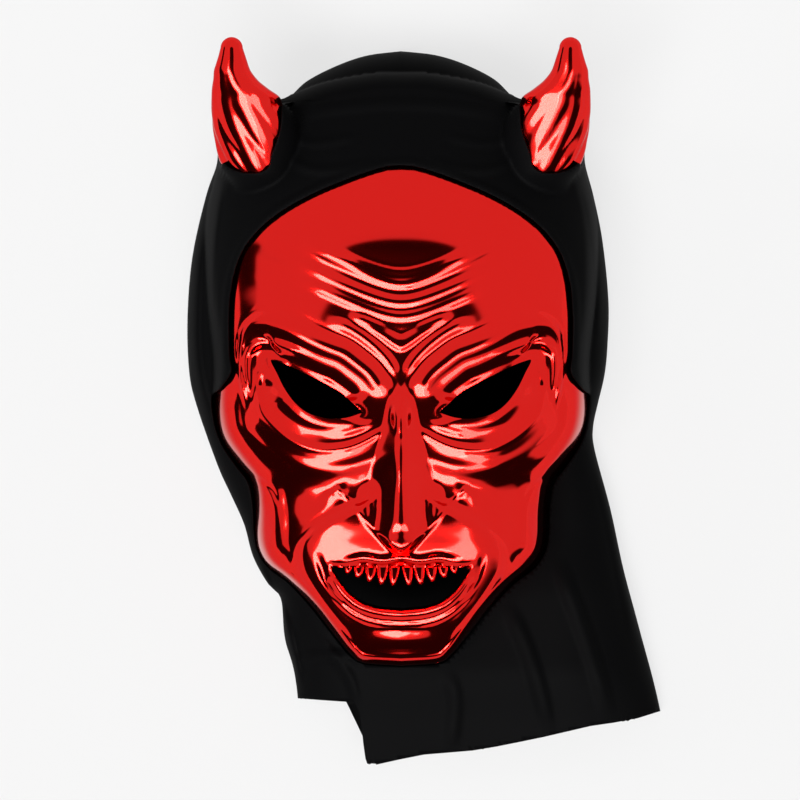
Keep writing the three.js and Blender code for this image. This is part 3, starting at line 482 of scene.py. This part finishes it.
def crowded(count, share):
    """Numbers from -1 to 1, closer together toward both ends by a share."""
    s = np.linspace(-1, 1, count)
    return (1 - share) * s + share * np.sin(s * np.pi / 2)


def evened(z):
    """Heights averaged with their neighbours, up and down the rows."""
    even = z.copy()
    even[1:-1] = 0.25 * z[:-2] + 0.5 * z[1:-1] + 0.25 * z[2:]
    return even


def face_grid():
    ys = face_rows(FACE_ROWS)
    x = half_width(ys)[:, None] * crowded(FACE_COLUMNS, FACE_CROWD)[None]
    y = np.repeat(ys[:, None], FACE_COLUMNS, axis=1)
    d = np.abs(offset_from(spline(EDGE, 6), np.abs(x), y)[0])
    z = evened(evened(face_height(x, y, d)).T).T
    return np.stack([x, y, np.maximum(z, table(y, RIM) + RIM_EDGE)], axis=2)


def normals(grid):
    """Normals of a grid of points. Its first row may be drawn together in one point."""
    along = np.gradient(grid, axis=1)
    up = np.gradient(grid, axis=0)
    n = np.cross(along, up)
    n /= np.maximum(np.linalg.norm(n, axis=2, keepdims=True), TINY)
    n[0] = n[1]
    return n


def closed_below(name, grid, low):
    """A solid under a grid of points. Its sides drop from the border to the heights that low gives."""
    rows, columns = grid.shape[:2]
    index = np.arange(rows * columns).reshape(rows, columns)
    a, b, c, d = index[:-1, :-1], index[:-1, 1:], index[1:, 1:], index[1:, :-1]
    faces = np.stack([a, b, c, d], axis=2).reshape(-1, 4).tolist()
    border = np.concatenate([index[0, :-1], index[:-1, -1], index[-1, :0:-1], index[:0:-1, 0]])
    under = {int(v): rows * columns + i for i, v in enumerate(border)}
    points = grid.reshape(-1, 3)
    foot = points[border].copy()
    foot[:, 2] = low(foot[:, 0], foot[:, 1])
    for i, v in enumerate(border):
        w = int(border[(i + 1) % len(border)])
        faces.append([w, int(v), under[int(v)], under[w]])
    left, right = [under[int(v)] for v in index[:, 0]], [under[int(v)] for v in index[:, -1]]
    first, last = [under[int(v)] for v in index[0]], [under[int(v)] for v in index[-1]]
    faces.append(first[::-1] + [left[1], right[1]])
    for r in range(1, rows - 2):
        faces.append([right[r], left[r], left[r + 1], right[r + 1]])
    faces.append(last + [right[rows - 2], left[rows - 2]])
    return object_of(name, np.vstack([points, foot]), faces)


def prism(name, outline, low, high):
    n = len(outline)
    points = [(px, py, low) for px, py in outline] + [(px, py, high) for px, py in outline]
    faces = [list(range(n))[::-1], list(range(n, 2 * n))]
    faces += [[i, (i + 1) % n, n + (i + 1) % n, n + i] for i in range(n)]
    return object_of(name, points, faces, smooth=False)


def combine(target, operation, other):
    """Joins other to target, or cuts it out, and removes other."""
    cut = target.modifiers.new("join", "BOOLEAN")
    cut.operation = operation
    cut.solver = "MANIFOLD"
    cut.object = other
    graph = bpy.context.evaluated_depsgraph_get()
    mesh = bpy.data.meshes.new_from_object(target.evaluated_get(graph))
    old = target.data
    target.modifiers.clear()
    target.data = mesh
    mesh.name = target.name
    bpy.data.meshes.remove(old)
    bpy.data.objects.remove(other)


# The horns

# A horn by its rings, each level across the part: y, centre x, half width, and z of its front and back.
HORN = [
    (80, 56, 8, 45, 33),
    (86, 55.6, 10.2, 53.6, 31.5),
    (91, 56.8, 12.8, 58.5, 31),
    (96, 57.8, 15, 60.4, 31),
    (102, 58, 16.2, 62.2, 32),
    (108, 58.8, 16.6, 64, 34.5),
    (113, 60, 15.9, 65.4, 37.4),
    (118, 61.6, 14.4, 66.8, 41),
    (121, 62.1, 13.8, 67.6, 43.6),
    (124.4, 64.3, 11.4, 68.4, 47.2),
    (128, 66.2, 8.9, 69, 51.2),
    (132.6, 67.5, 7, 69.6, 55.6),
    (136.5, 67.5, 5.7, 69.8, 58.4),
    (140.4, 67.6, 4.5, 69.8, 60.8),
]
# The length of the round end past the last ring, and the turns at which that end has its rings
HORN_TIP = 4.5
TIP_TURNS = np.array([0.25, 0.5, 0.75, 1.0, 1.25, 1.42])
# The grooves: their number, their depth as a share of the radius, and how soon they run out at the tip. They
# are shallowest on the side away from FLUTE_FRONT. The bore is drawn in by a share of their depth.
FLUTES = 10
FLUTE = 0.055
FLUTE_END = 1.6
FLUTE_FRONT, FLUTE_LEAST = 0.7, 0.6
BORE_SHARE = 0.6
# Where one of the grooves lies round the ring, in degrees, by height.
FLUTE_LINE = [(80, 120), (95, 104), (98, 99), (105, 83), (109, 77), (120, 67), (140, 70)]


def horn_sizes(y):
    """Centre x and z and the two half widths of a horn at given heights."""
    columns = np.array(HORN).T
    across, wide, front, back = (table(y, list(zip(columns[0], column))) for column in columns[1:])
    return across, (front + back) / 2, wide, (front - back) / 2


def horn(name, thin, sides, steps, foot, side):
    """A horn as a closed solid, drawn in by thin and with a foot below its first ring.

    side is 1 for the right horn and -1 for the left.
    """
    low, high = HORN[0][0], HORN[-1][0]
    levels = np.concatenate([[low], np.linspace(low, high, steps), np.full(len(TIP_TURNS), high)])
    shrink = np.concatenate([np.ones(steps + 1), np.cos(TIP_TURNS)])
    push = np.concatenate([[-foot], np.zeros(steps), np.sin(TIP_TURNS) * (HORN_TIP - thin)])
    across, middle, wide, tall = horn_sizes(levels)
    share = (levels - low) / (high - low)
    angle = np.arange(sides) / sides * 2 * np.pi
    line = np.radians(table(levels, FLUTE_LINE))
    wave = (0.5 + 0.5 * np.cos(FLUTES * (angle[None] - line[:, None]))) ** 2
    depth = (BORE_SHARE if thin > 0 else wave) * FLUTE * np.minimum(1, FLUTE_END * (1 - share))[:, None]
    depth = depth * (FLUTE_LEAST + (1 - FLUTE_LEAST) * np.cos(angle - FLUTE_FRONT))
    x = across[:, None] + np.cos(angle) * ((wide - thin) * shrink)[:, None] * (1 - depth)
    z = middle[:, None] + np.sin(angle) * ((tall - thin) * shrink)[:, None] * (1 - depth)
    y = np.repeat((levels + push)[:, None], sides, axis=1)
    count = len(levels)
    points = np.stack([x, y, z], axis=2).reshape(-1, 3)
    ends = [(across[0], low - foot, middle[0]), (across[-1], high + HORN_TIP - thin, middle[-1])]
    points = np.vstack([points, ends]) * np.array([side, 1, 1])
    bottom, top = len(points) - 2, len(points) - 1
    faces = []
    for r in range(count - 1):
        for k in range(sides):
            a, b = r * sides + k, r * sides + (k + 1) % sides
            faces.append([a, a + sides, b + sides, b])
    for k in range(sides):
        following = (k + 1) % sides
        faces.append([bottom, k, following])
        faces.append([top, (count - 1) * sides + following, (count - 1) * sides + k])
    if side < 0:
        faces = [f[::-1] for f in faces]
    return object_of(name, points, faces)


# The teeth

TOOTH_LEAN = 0.1
TOOTH_ROOT = 2
TOOTH_POINTS = 25
TOOTH_SQUARE, TOOTH_FULL = 2.6, 0.6
# The lip's height over a tooth is taken this far up from its edge and this far in from the shell's.
LIP_OVER, LIP_INWARD = 1.0, 30.0
# Layers from the back to the front: level under the lip and share of the outline.
TOOTH_LAYERS = [(-2.8, 0.9), (-2.2, 1), (-1.2, 1), (-0.7, 0.9), (-0.35, 0.7), (-0.2, 0.4)]


def tooth(at, half, tip, side):
    """A rounded tooth that hangs from the inside of the upper lip and leans a little outward."""
    u = np.linspace(-1, 1, TOOTH_POINTS)
    root = UPPER_LIP + TOOTH_ROOT
    middle = np.array([at, (root + tip) / 2])
    down = (1 - np.abs(u) ** TOOTH_SQUARE) ** TOOTH_FULL
    across = at + half * u + TOOTH_LEAN * (root - tip) * down
    outline = np.stack([across, root + (tip - root) * down], axis=1)
    z = float(face_height(np.array([at]), np.array([root + LIP_OVER]), np.array([LIP_INWARD]))[0])
    rings = []
    for level, share in TOOTH_LAYERS:
        ring = middle + (outline - middle) * share
        ring[:, 0] *= side
        rings.append(np.column_stack([ring, np.full(len(ring), z + level)]))
    n = len(outline)
    faces = [list(range(n))[::-1], list(range((len(rings) - 1) * n, len(rings) * n))]
    for r in range(len(rings) - 1):
        for k in range(n):
            a, b = r * n + k, r * n + (k + 1) % n
            faces.append([a, b, b + n, a + n])
    obj = object_of("tooth", np.vstack(rings), faces)
    facing_out(obj)
    return obj


def facing_out(obj):
    """Turns the faces of a closed solid outward."""
    bm = bmesh.new()
    bm.from_mesh(obj.data)
    bmesh.ops.recalc_face_normals(bm, faces=bm.faces)
    bm.to_mesh(obj.data)
    bm.free()


# The shell

# The hollow behind the face is plainer than its front.
INNER_ROWS, INNER_COLUMNS = 96, 67
UNDER_ALL = -6.0
# The levels between which the eyes and the mouth are cut through
CUT_LOW, CUT_HIGH = 2, 200
HORN_MESH = (96, 90, 1)
BORE_MESH = (32, 30, 2)
SHARP = 50


def some(count, of):
    """The numbers of a few rows or columns, evenly spread and with the first and the last."""
    return np.unique(np.round(np.linspace(0, of - 1, count)).astype(int))


def eye_outline(side):
    outline = [(side * px, py) for px, py in loop(EYE, 6)[:-1]]
    return outline[::-1] if side > 0 else outline


def mouth_outline():
    lip = spline(LOWER_LIP, 5)
    corner = LOWER_LIP[-1][0]
    outline = [(-px, py) for px, py in lip[::-1]] + [tuple(p) for p in lip[1:]]
    return outline + [(corner, UPPER_LIP), (-corner, UPPER_LIP)]


def mask_shell():
    face = face_grid()
    inner = (face - normals(face) * WALL)[some(INNER_ROWS, FACE_ROWS)][:, some(INNER_COLUMNS, FACE_COLUMNS)]
    shell = closed_below("mask_shell_skin", face, lambda x, y: table(y, RIM))
    hollow = closed_below("hollow", inner, lambda x, y: np.full_like(x, UNDER_ALL))
    for side in (1, -1):
        combine(shell, "UNION", horn("horn", 0, *HORN_MESH, side))
        combine(hollow, "UNION", horn("bore", WALL, *BORE_MESH, side))
    combine(shell, "DIFFERENCE", hollow)
    for side in (1, -1):
        combine(shell, "DIFFERENCE", prism("eye", eye_outline(side), CUT_LOW, CUT_HIGH))
    combine(shell, "DIFFERENCE", prism("mouth", mouth_outline(), CUT_LOW, CUT_HIGH))
    for side in (1, -1):
        for at, half, tip in TEETH:
            combine(shell, "UNION", tooth(at, half, tip, side))
    shell.data.shade_smooth()
    shell.data.set_sharp_from_angle(angle=math.radians(SHARP))
    return shell


# The hood

# Its outline on each side from the top down, its hem from left to right, and the right half of the opening
HOOD_RIGHT = [(0, 140.5), (13.6, 139), (25.6, 135.3), (37.6, 129.2), (46, 121.6), (55, 119.6),
              (63.4, 118.4), (70.4, 111.8), (73.8, 103.5), (74.2, 95), (77.6, 82), (81.2, 64),
              (83.6, 40), (83.2, 22), (82, 10), (79.2, -2), (77.4, -11), (78, -20), (84.4, -44),
              (89.6, -68), (96, -92), (104.4, -124.8), (112, -170)]
HOOD_LEFT = [(0, 140.5), (-13.6, 138.8), (-26, 134.6), (-38, 128.4), (-46, 121.4), (-55, 119.6),
             (-63.4, 118.4), (-70.4, 111.8), (-73.8, 103.5), (-74.2, 95), (-78.6, 82), (-84, 58),
             (-86, 34), (-85.4, 12), (-82.4, -2), (-74, -26), (-68.6, -38), (-63.2, -50), (-59.6, -63),
             (-53.6, -74), (-48.4, -80), (-46.8, -96), (-42, -116), (-38, -170)]
HEM = [(-48, -112), (-42, -119.4), (-40.4, -120), (-30, -120.4), (-19, -121.2), (-16.4, -127),
       (-14.2, -146.4), (-10.4, -146.4), (7.6, -142.4), (31.6, -140.4), (55.6, -135.6), (79.6, -130),
       (91.6, -128.8), (108, -123.6)]
FACE_OPENING = [(0, 93.8), (8, 92.8), (23, 87.6), (39, 80.5), (53, 71.7), (62.6, 61.2), (67.3, 49.4),
                (69, 36.5), (69, 19), (68.4, 11), (73, 4.5)]
# Below BREAK the opening's edge follows the shell's outline at a distance. The shell starts to lift the
# cloth BREAK_SOFT lower.
BREAK = 3
BREAK_SOFT = 3
EDGE_GAP = 0.9
HORN_HOLE = [(47.4, 121), (47.3, 114), (48, 107.7), (50, 101.7), (51.5, 98), (52.4, 93.4), (55.5, 91),
             (61, 90.3), (67.3, 91.8), (71.4, 95.2), (71, 100), (70, 105), (60, 108), (52.5, 113),
             (50, 121)]
# The cloth over a horn's foot stands off it by these amounts. It lies down again over COVER_FALL of height
# from the first of the two heights in COVER_END on the horn's inner side, and from the second elsewhere.
COVER_WIDE = 1.6
COVER_OVER = 1.1
COVER_END = (117, 94)
COVER_INNER = 50
COVER_FALL = 8
# The distance over which the first height turns into the second, and over which the cover rises from the
# hood's outline
COVER_TURN, COVER_EDGE = 5, 3
# The edge round a horn stands off it by HORN_ROOM. off_horn gives a share of the horn's half widths times
# OFF_SCALE, and OFF_BELOW below the horn's foot.
HORN_ROOM = 0.5
OFF_SCALE, OFF_BELOW = 10, 20
# The cloth is whole again below this share of a horn's half height under its middle.
HORN_UNDER = 0.5
# The shell under the cloth is taken larger across and along, by 1 / SWOLLEN, and higher by SHELL_ROOM.
SWOLLEN = 0.985
SHELL_ROOM = 1.3
# Where the cloth's own height and that of the shell differ by less than this, they pass into each other in a
# curve.
LAY_SOFT = 2.0
# The cloth where the shell doesn't lift it, by y: its height, and the width over which its side rounds in.
HOOD_RISE = [(-150, 13), (-130, 20), (-106, 27), (-80, 27), (-50, 22), (-20, 20), (10, 22), (60, 22),
             (95, 24), (122, 29), (141, 29)]
HOOD_ROUND = [(-150, 40), (-106, 36), (-70, 26), (-30, 16), (10, 12), (60, 12), (100, 13), (141, 16)]
# Folds in the cloth: the curve, half width on its left and right, and height.
HOOD_FOLDS = [
    ([(-76, 78), (-80.5, 62), (-82, 40), (-82, 20), (-79, 2), (-74, -16)], 2.2, 3.0, 1.5),
    ([(-70, 96), (-73.6, 74), (-75.6, 52), (-75.6, 30), (-74, 14)], 1.6, 2.4, 0.9),
    ([(-48, 112), (-30, 116.5), (0, 119), (30, 116.5), (48, 112)], 2.6, 4.0, 0.8),
    ([(-48, 100), (-38, 93), (-24, 92.5), (-8, 97)], 2.2, 3.0, 1.0),
    ([(48, 100), (38, 93), (24, 92.5), (8, 97)], 3.0, 2.2, 1.0),
    ([(-47, 106), (-34, 103), (-16, 106)], 2.0, 3.0, 0.7),
    ([(47, 106), (34, 103), (16, 106)], 3.0, 2.0, 0.7),
    ([(72, 92), (77, 70), (79.5, 44), (78.4, 18)], 2.6, 2.0, 1.1),
    ([(-59, -62), (-54, -74), (-50.4, -88), (-47.6, -102), (-45, -114)], 2.4, 2.6, 3.0),
    ([(-50, -78), (-46, -90), (-42.6, -104), (-40, -116)], 2.0, 2.4, 2.2),
    ([(-46, -114), (-42, -105.5), (-34, -102.6), (-22, -102), (-4, -103), (16, -104)], 1.8, 4.5, 2.2),
    ([(-36, -92), (-28, -101), (-20, -112), (-17, -124)], 2.5, 3.5, 1.4),
    ([(62, -62), (72, -88), (80, -112), (84, -130)], 4.0, 5.0, 2.0),
    ([(42, -80), (51, -100), (57, -120), (60, -136)], 3.5, 5.0, 1.8),
    ([(18, -108), (22, -120), (20, -142)], 3.5, 4.5, 1.4),
    ([(78, -22), (84.6, -48), (90, -74), (96, -104)], 2.4, 3.4, 1.4),
]
FOLD_CRISP, FOLD_ENDS = (1.6, 1.6), (0.25, 0.25)
CLOTH = 0.7
# The bead along the opening: height, distance from the edge, half width, and the height over which it begins
WELT, WELT_AT, WELT_HALF, WELT_SOFT = 0.8, 1.5, 1.6, 20
# Waves of the raw hem: size, radians a millimetre and start. The back layer ends lower by BACK_LONGER.
FRAYS = [(0.22, 2.9, 0), (0.16, 7.3, 1), (0.12, 13.7, 2)]
BACK_LONGER = 0.6
# Points of the cloth closer than this, in metres, become one.
WELD = 1e-6
# The mesh of the cloth. Its rows lie closer together toward the top, and its columns toward both sides.
HOOD_ROWS, HOOD_COLUMNS, BACK_COLUMNS = 210, 170, 16
HOOD_LOW, HOOD_TOP = -152, 140.48
ROW_SHARE, COLUMN_SHARE = 0.65, 0.7


def swell(path, by):
    """The path moved to its left."""
    way = np.gradient(np.array(path, float), axis=0)
    way /= np.hypot(*way.T)[:, None]
    return np.array(path) + by * np.stack([-way[:, 1], way[:, 0]], axis=1)


def opening_outline():
    upper = spline(FACE_OPENING, 4)
    edge = spline(EDGE, 6)
    lower = swell(edge, EDGE_GAP)[edge[:, 1] < BREAK]
    half = np.vstack([upper, lower])
    return np.vstack([half, (half * [-1, 1])[::-1]])


def under_cloth(x, y):
    """The shell's height with room for the cloth, swollen past its outline, and 0 beyond it."""
    x, y = np.abs(x) * SWOLLEN, y * SWOLLEN
    d = np.abs(offset_from(spline(EDGE, 6), x, y)[0])
    low = BREAK - BREAK_SOFT
    within = (x < half_width(y)) & (y > low) & (y < TOP)
    return np.where(within, face_base(x, y, d) + SHELL_ROOM, 0) * ease((y - low) / BREAK_SOFT)


def hood_height(x, y):
    """Height of the upper cloth and its distance from the hood's outline."""
    outline = np.vstack([spline(HOOD_LEFT, 4)[::-1], spline(HOOD_RIGHT, 4)[1:]])
    far = np.minimum(np.abs(offset_from(outline, x, y)[0]), HOOD_TOP - y)
    inward = np.clip(far / table(y, HOOD_ROUND), 0, 1)
    lay = CLOTH + (table(y, HOOD_RISE) - CLOTH) * np.sqrt(1 - (1 - inward) ** 2)
    shell = under_cloth(x, y)
    gap = np.clip(np.abs(lay - shell) / LAY_SOFT, 0, 1)
    return np.maximum(lay, shell) + LAY_SOFT / 4 * (1 - gap) ** 2, far


def horn_cover(x, y, z, far):
    """The cloth's height where it rides over the foot of a horn."""
    across, middle, wide, tall = horn_sizes(y)
    u = np.clip(np.abs(np.abs(x) - across) / (wide + COVER_WIDE), 0, 1)
    over = middle + (tall + COVER_OVER) * np.sqrt(1 - u**2)
    over = np.where((u < 1) & (y > HORN[0][0]), over, 0)
    inner = ease((COVER_INNER + COVER_TURN - np.abs(x)) / COVER_TURN)
    start = COVER_END[1] + (COVER_END[0] - COVER_END[1]) * inner
    down = ease((y - start) / COVER_FALL)
    return np.maximum(z, (over * (1 - down) + np.minimum(over, z) * down) * ease(far / COVER_EDGE))


def off_horn(x, y, z):
    """A measure of how far a point lies outside a horn, negative inside it."""
    across, middle, wide, tall = horn_sizes(y)
    out = np.hypot((np.abs(x) - across) / (wide + HORN_ROOM), (z - middle) / (tall + HORN_ROOM))
    return np.where(y > HORN[0][0], (out - 1) * OFF_SCALE, OFF_BELOW)


def clipped(grid, keep):
    """The part of a grid where keep is positive, cut straight across the squares on its border."""
    rows, columns = grid.shape[:2]
    index = np.arange(rows * columns).reshape(rows, columns)
    quads = np.stack([index[:-1, :-1], index[:-1, 1:], index[1:, 1:], index[1:, :-1]], axis=2).reshape(-1, 4)
    points = grid.reshape(-1, 3)
    g = keep.ravel()
    inside_count = (g[quads] > 0).sum(1)
    faces = quads[inside_count == 4].tolist()
    verts = points.tolist()
    made = {}

    def crossing(i, j):
        key = (min(i, j), max(i, j))
        if key not in made:
            t = g[key[0]] / (g[key[0]] - g[key[1]])
            made[key] = len(verts)
            verts.append((points[key[0]] * (1 - t) + points[key[1]] * t).tolist())
        return made[key]

    for q in quads[(inside_count > 0) & (inside_count < 4)].tolist():
        ring = []
        for i in range(4):
            p, r = q[i], q[(i + 1) % 4]
            if g[p] > 0:
                ring.append(p)
            if (g[p] > 0) != (g[r] > 0):
                ring.append(crossing(p, r))
        if len(ring) >= 3:
            faces.append(ring)
    return np.array(verts), faces


def signed(outline, x, y):
    """Distance from a closed outline, positive outside it."""
    if np.hypot(*(outline[0] - outline[-1])) > TINY:
        outline = np.vstack([outline, outline[:1]])
    d = np.abs(offset_from(outline, x, y)[0])
    return np.where(inside(outline, x, y), -d, d)


def between_sides(shares):
    """x and y of rows of points that go from the hood's left side to its right."""
    t = np.linspace(0, 1, HOOD_ROWS)
    ys = HOOD_LOW + (HOOD_TOP - HOOD_LOW) * ((1 - ROW_SHARE) * t + ROW_SHARE * np.sin(t * np.pi / 2))
    left, right = side_of(HOOD_LEFT, ys), side_of(HOOD_RIGHT, ys)
    x = left[:, None] + (right - left)[:, None] * shares[None]
    return x, np.repeat(ys[:, None], len(shares), axis=1)


def over_hem(x, y):
    return y - np.interp(x, *np.array(HEM).T)


def upper_layer():
    """The upper cloth with its opening, horn holes and hem."""
    x, y = between_sides(0.5 + 0.5 * crowded(HOOD_COLUMNS, COLUMN_SHARE))
    z, far = hood_height(x, y)
    opening = signed(opening_outline(), x, y)
    hole = loop(HORN_HOLE, 5)
    holes = np.minimum(signed(hole, x, y), signed(hole * [-1, 1], x, y))
    for path, wide_left, wide_right, high in HOOD_FOLDS:
        z = z + roll(x, y, path, wide_left, wide_right, high, FOLD_CRISP, FOLD_ENDS)
    z = z + WELT * bead(opening - WELT_AT, WELT_HALF) * ease(y / WELT_SOFT)
    z = horn_cover(x, y, z, far)
    z[:, [0, -1]] = CLOTH
    _, middle, _, tall = horn_sizes(y)
    holes = np.maximum(holes, middle - tall * HORN_UNDER - z)
    frayed = sum(size * np.sin(x * often + start) for size, often, start in FRAYS)
    keep = np.minimum.reduce([opening, holes, off_horn(x, y, z), over_hem(x, y) + frayed])
    return clipped(np.stack([x, y, z], axis=2), keep)


def back_layer():
    """The cloth behind the shell, flat on the ground."""
    x, y = between_sides(np.linspace(0, 1, BACK_COLUMNS))
    return clipped(np.stack([x, y, np.zeros_like(x)], axis=2), over_hem(x, y) + BACK_LONGER)


def hood():
    points, faces = upper_layer()
    back, back_faces = back_layer()
    faces = faces + [[v + len(points) for v in f[::-1]] for f in back_faces]
    obj = object_of("hood_cloth", np.vstack([points, back]), faces)
    bm = bmesh.new()
    bm.from_mesh(obj.data)
    bmesh.ops.remove_doubles(bm, verts=bm.verts, dist=WELD)
    bmesh.ops.delete(bm, geom=[v for v in bm.verts if not v.link_faces], context="VERTS")
    bm.to_mesh(obj.data)
    bm.free()
    wall = obj.modifiers.new("cloth", "SOLIDIFY")
    wall.thickness = CLOTH * MM
    wall.offset = -1
    return obj


# Materials

RED_METALLISED = {"Base Color": (0.74, 0.008, 0.005, 1), "Metallic": 1, "Roughness": 0.1,
                  "Specular Tint": (0.8, 0.4, 0.38, 1), "Coat Weight": 0.22, "Coat Roughness": 0.03}
BLACK_CLOTH = {"Base Color": (0.0008, 0.0008, 0.0009, 1), "Roughness": 0.65, "Specular IOR Level": 0.02}
PALE_FLOOR = {"Base Color": (0.05, 0.05, 0.05, 1), "Roughness": 0.9,
              "Emission Color": (1, 1, 1, 1), "Emission Strength": 0.725}


def plain_material(name, values):
    material = bpy.data.materials.new(name)
    material.use_nodes = True
    surface = material.node_tree.nodes["Principled BSDF"]
    for socket, value in values.items():
        surface.inputs[socket].default_value = value
    return material


shell = mask_shell()
shell.data.materials.clear()
shell.data.materials.append(plain_material("red_metallised", RED_METALLISED))
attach(shell, "root")
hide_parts("mask_shell")

cover = hood()
cover.data.materials.append(plain_material("black_cloth", BLACK_CLOTH))
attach(cover, "root")
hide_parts("hood")

# The studio, in metres

FLOOR_HALF = 3
FLOOR_DROP = 0.0002
MIDDLE_LEVEL = 0.05
CAMERA_X = -0.0004
CAMERA_AWAY = 7
VIEW_ACROSS = 0.32
# The sensor's width, in millimetres
SENSOR = 36

half = FLOOR_HALF / MM
corners = [(-half, -half, 0), (half, -half, 0), (half, half, 0), (-half, half, 0)]
floor = object_of("floor", corners, [[0, 1, 2, 3]])
floor.location.z = -FLOOR_DROP
floor.data.materials.append(plain_material("pale_floor", PALE_FLOOR))

camera_data = bpy.data.cameras.new("camera")
camera = bpy.data.objects.new("camera", camera_data)
bpy.context.scene.collection.objects.link(camera)
camera.location = (CAMERA_X, 0, CAMERA_AWAY + MIDDLE_LEVEL)
camera_data.sensor_width = SENSOR
camera_data.lens = SENSOR * CAMERA_AWAY / VIEW_ACROSS
camera_data.clip_end = 20
bpy.context.scene.camera = camera


def softbox(name, at, size, power):
    """A lamp turned to the mask that no reflection shows."""
    data = bpy.data.lights.new(name, "AREA")
    data.shape = "RECTANGLE"
    data.size, data.size_y = size
    data.energy = power
    obj = bpy.data.objects.new(name, data)
    bpy.context.scene.collection.objects.link(obj)
    obj.location = at
    obj.visible_glossy = False
    obj.rotation_euler = (Vector((0, 0, MIDDLE_LEVEL)) - Vector(at)).to_track_quat("-Z", "Y").to_euler()


softbox("side_left", (-2.3, 0.6, 0.9), (0.3, 1.2), 45)


def add_node(tree, kind, settings, inputs):
    """A node of a kind, with its settings, and with a value or a worked-out number for each socket named."""
    node = tree.nodes.new(kind)
    for name, value in settings.items():
        setattr(node, name, value)
    for name, value in inputs.items():
        if isinstance(value, Maths):
            tree.links.new(value.socket, node.inputs[name])
        else:
            node.inputs[name].default_value = value
    return node


class Maths:
    """A number worked out by the world's nodes, with operators that add the next node."""

    def __init__(self, tree, socket):
        self.tree = tree
        self.socket = socket

    def made(self, operation, *values):
        node = add_node(self.tree, "ShaderNodeMath", {"operation": operation}, dict(enumerate(values)))
        return Maths(self.tree, node.outputs[0])

    def __add__(self, other):
        return self.made("ADD", self, other)

    def __sub__(self, other):
        return self.made("SUBTRACT", self, other)

    def __rsub__(self, other):
        return self.made("SUBTRACT", other, self)

    def __mul__(self, other):
        return self.made("MULTIPLY", self, other)

    def __abs__(self):
        return self.made("ABSOLUTE", self)

    __radd__ = __add__
    __rmul__ = __mul__

    def step(self, low, high):
        """0 at low and 1 at high, with a smooth rise between them."""
        node = add_node(self.tree, "ShaderNodeMapRange", {"interpolation_type": "SMOOTHSTEP"},
                        {"Value": self, "From Min": low, "From Max": high})
        return Maths(self.tree, node.outputs["Result"])


world = bpy.data.worlds.new("studio")
bpy.context.scene.world = world
world.use_nodes = True
tree = world.node_tree
place = add_node(tree, "ShaderNodeTexCoord", {}, {})
parts = add_node(tree, "ShaderNodeSeparateXYZ", {}, {0: Maths(tree, place.outputs["Generated"])})
east, north, up = [Maths(tree, parts.outputs[k]) for k in "XYZ"]

# The room is lit all round, apart from where the camera is, low on the left, and low past the chin.
ROOM_LIGHT, LEAST_LIGHT = 0.88, 0.02
behind_camera = up.step(0.945, 0.965)
low = north * -0.82 - east * 0.57
edge = low.step(0.50, 0.80) * 0.38 + 0.30
unlit_left = low.step(0.28, 0.40) * (up - edge).step(0.03, -0.03)
unlit_below = (north * -0.97 + east * 0.1).step(0.40, 0.52) * up.step(0.64, 0.56)
lit = (1 - unlit_left) * (1 - unlit_below)

# Soft panels: azimuth and angle from straight up in degrees, half width, half height and strength.
PANELS = [(238, 31, 0.36, 0.17, 27), (300, 31, 0.19, 0.14, 14)]
PANEL_SOFT = 0.015


def panel(azimuth, away, half_across, half_along):
    """1 in the directions of a soft panel and 0 beside it."""
    a, b = math.radians(azimuth), math.radians(away)
    middle = (math.cos(a) * math.sin(b), math.sin(a) * math.sin(b), math.cos(b))
    across = (-math.sin(a), math.cos(a), 0)
    along = (math.cos(a) * math.cos(b), math.sin(a) * math.cos(b), -math.sin(b))
    u, v, w = [east * d[0] + north * d[1] + up * d[2] for d in (across, along, middle)]
    in_width = abs(u).step(half_across + PANEL_SOFT, half_across - PANEL_SOFT)
    in_height = abs(v).step(half_along + PANEL_SOFT, half_along - PANEL_SOFT)
    return in_width * in_height * w.step(0, 0.1)


light = (1 - behind_camera) * lit * ROOM_LIGHT + LEAST_LIGHT
for *shape, strength in PANELS:
    light = light + panel(*shape) * strength
tree.links.new(light.socket, tree.nodes["Background"].inputs["Strength"])
tree.nodes["Background"].inputs["Color"].default_value = (1, 1, 1, 1)

bpy.context.scene.view_settings.view_transform = "Standard"
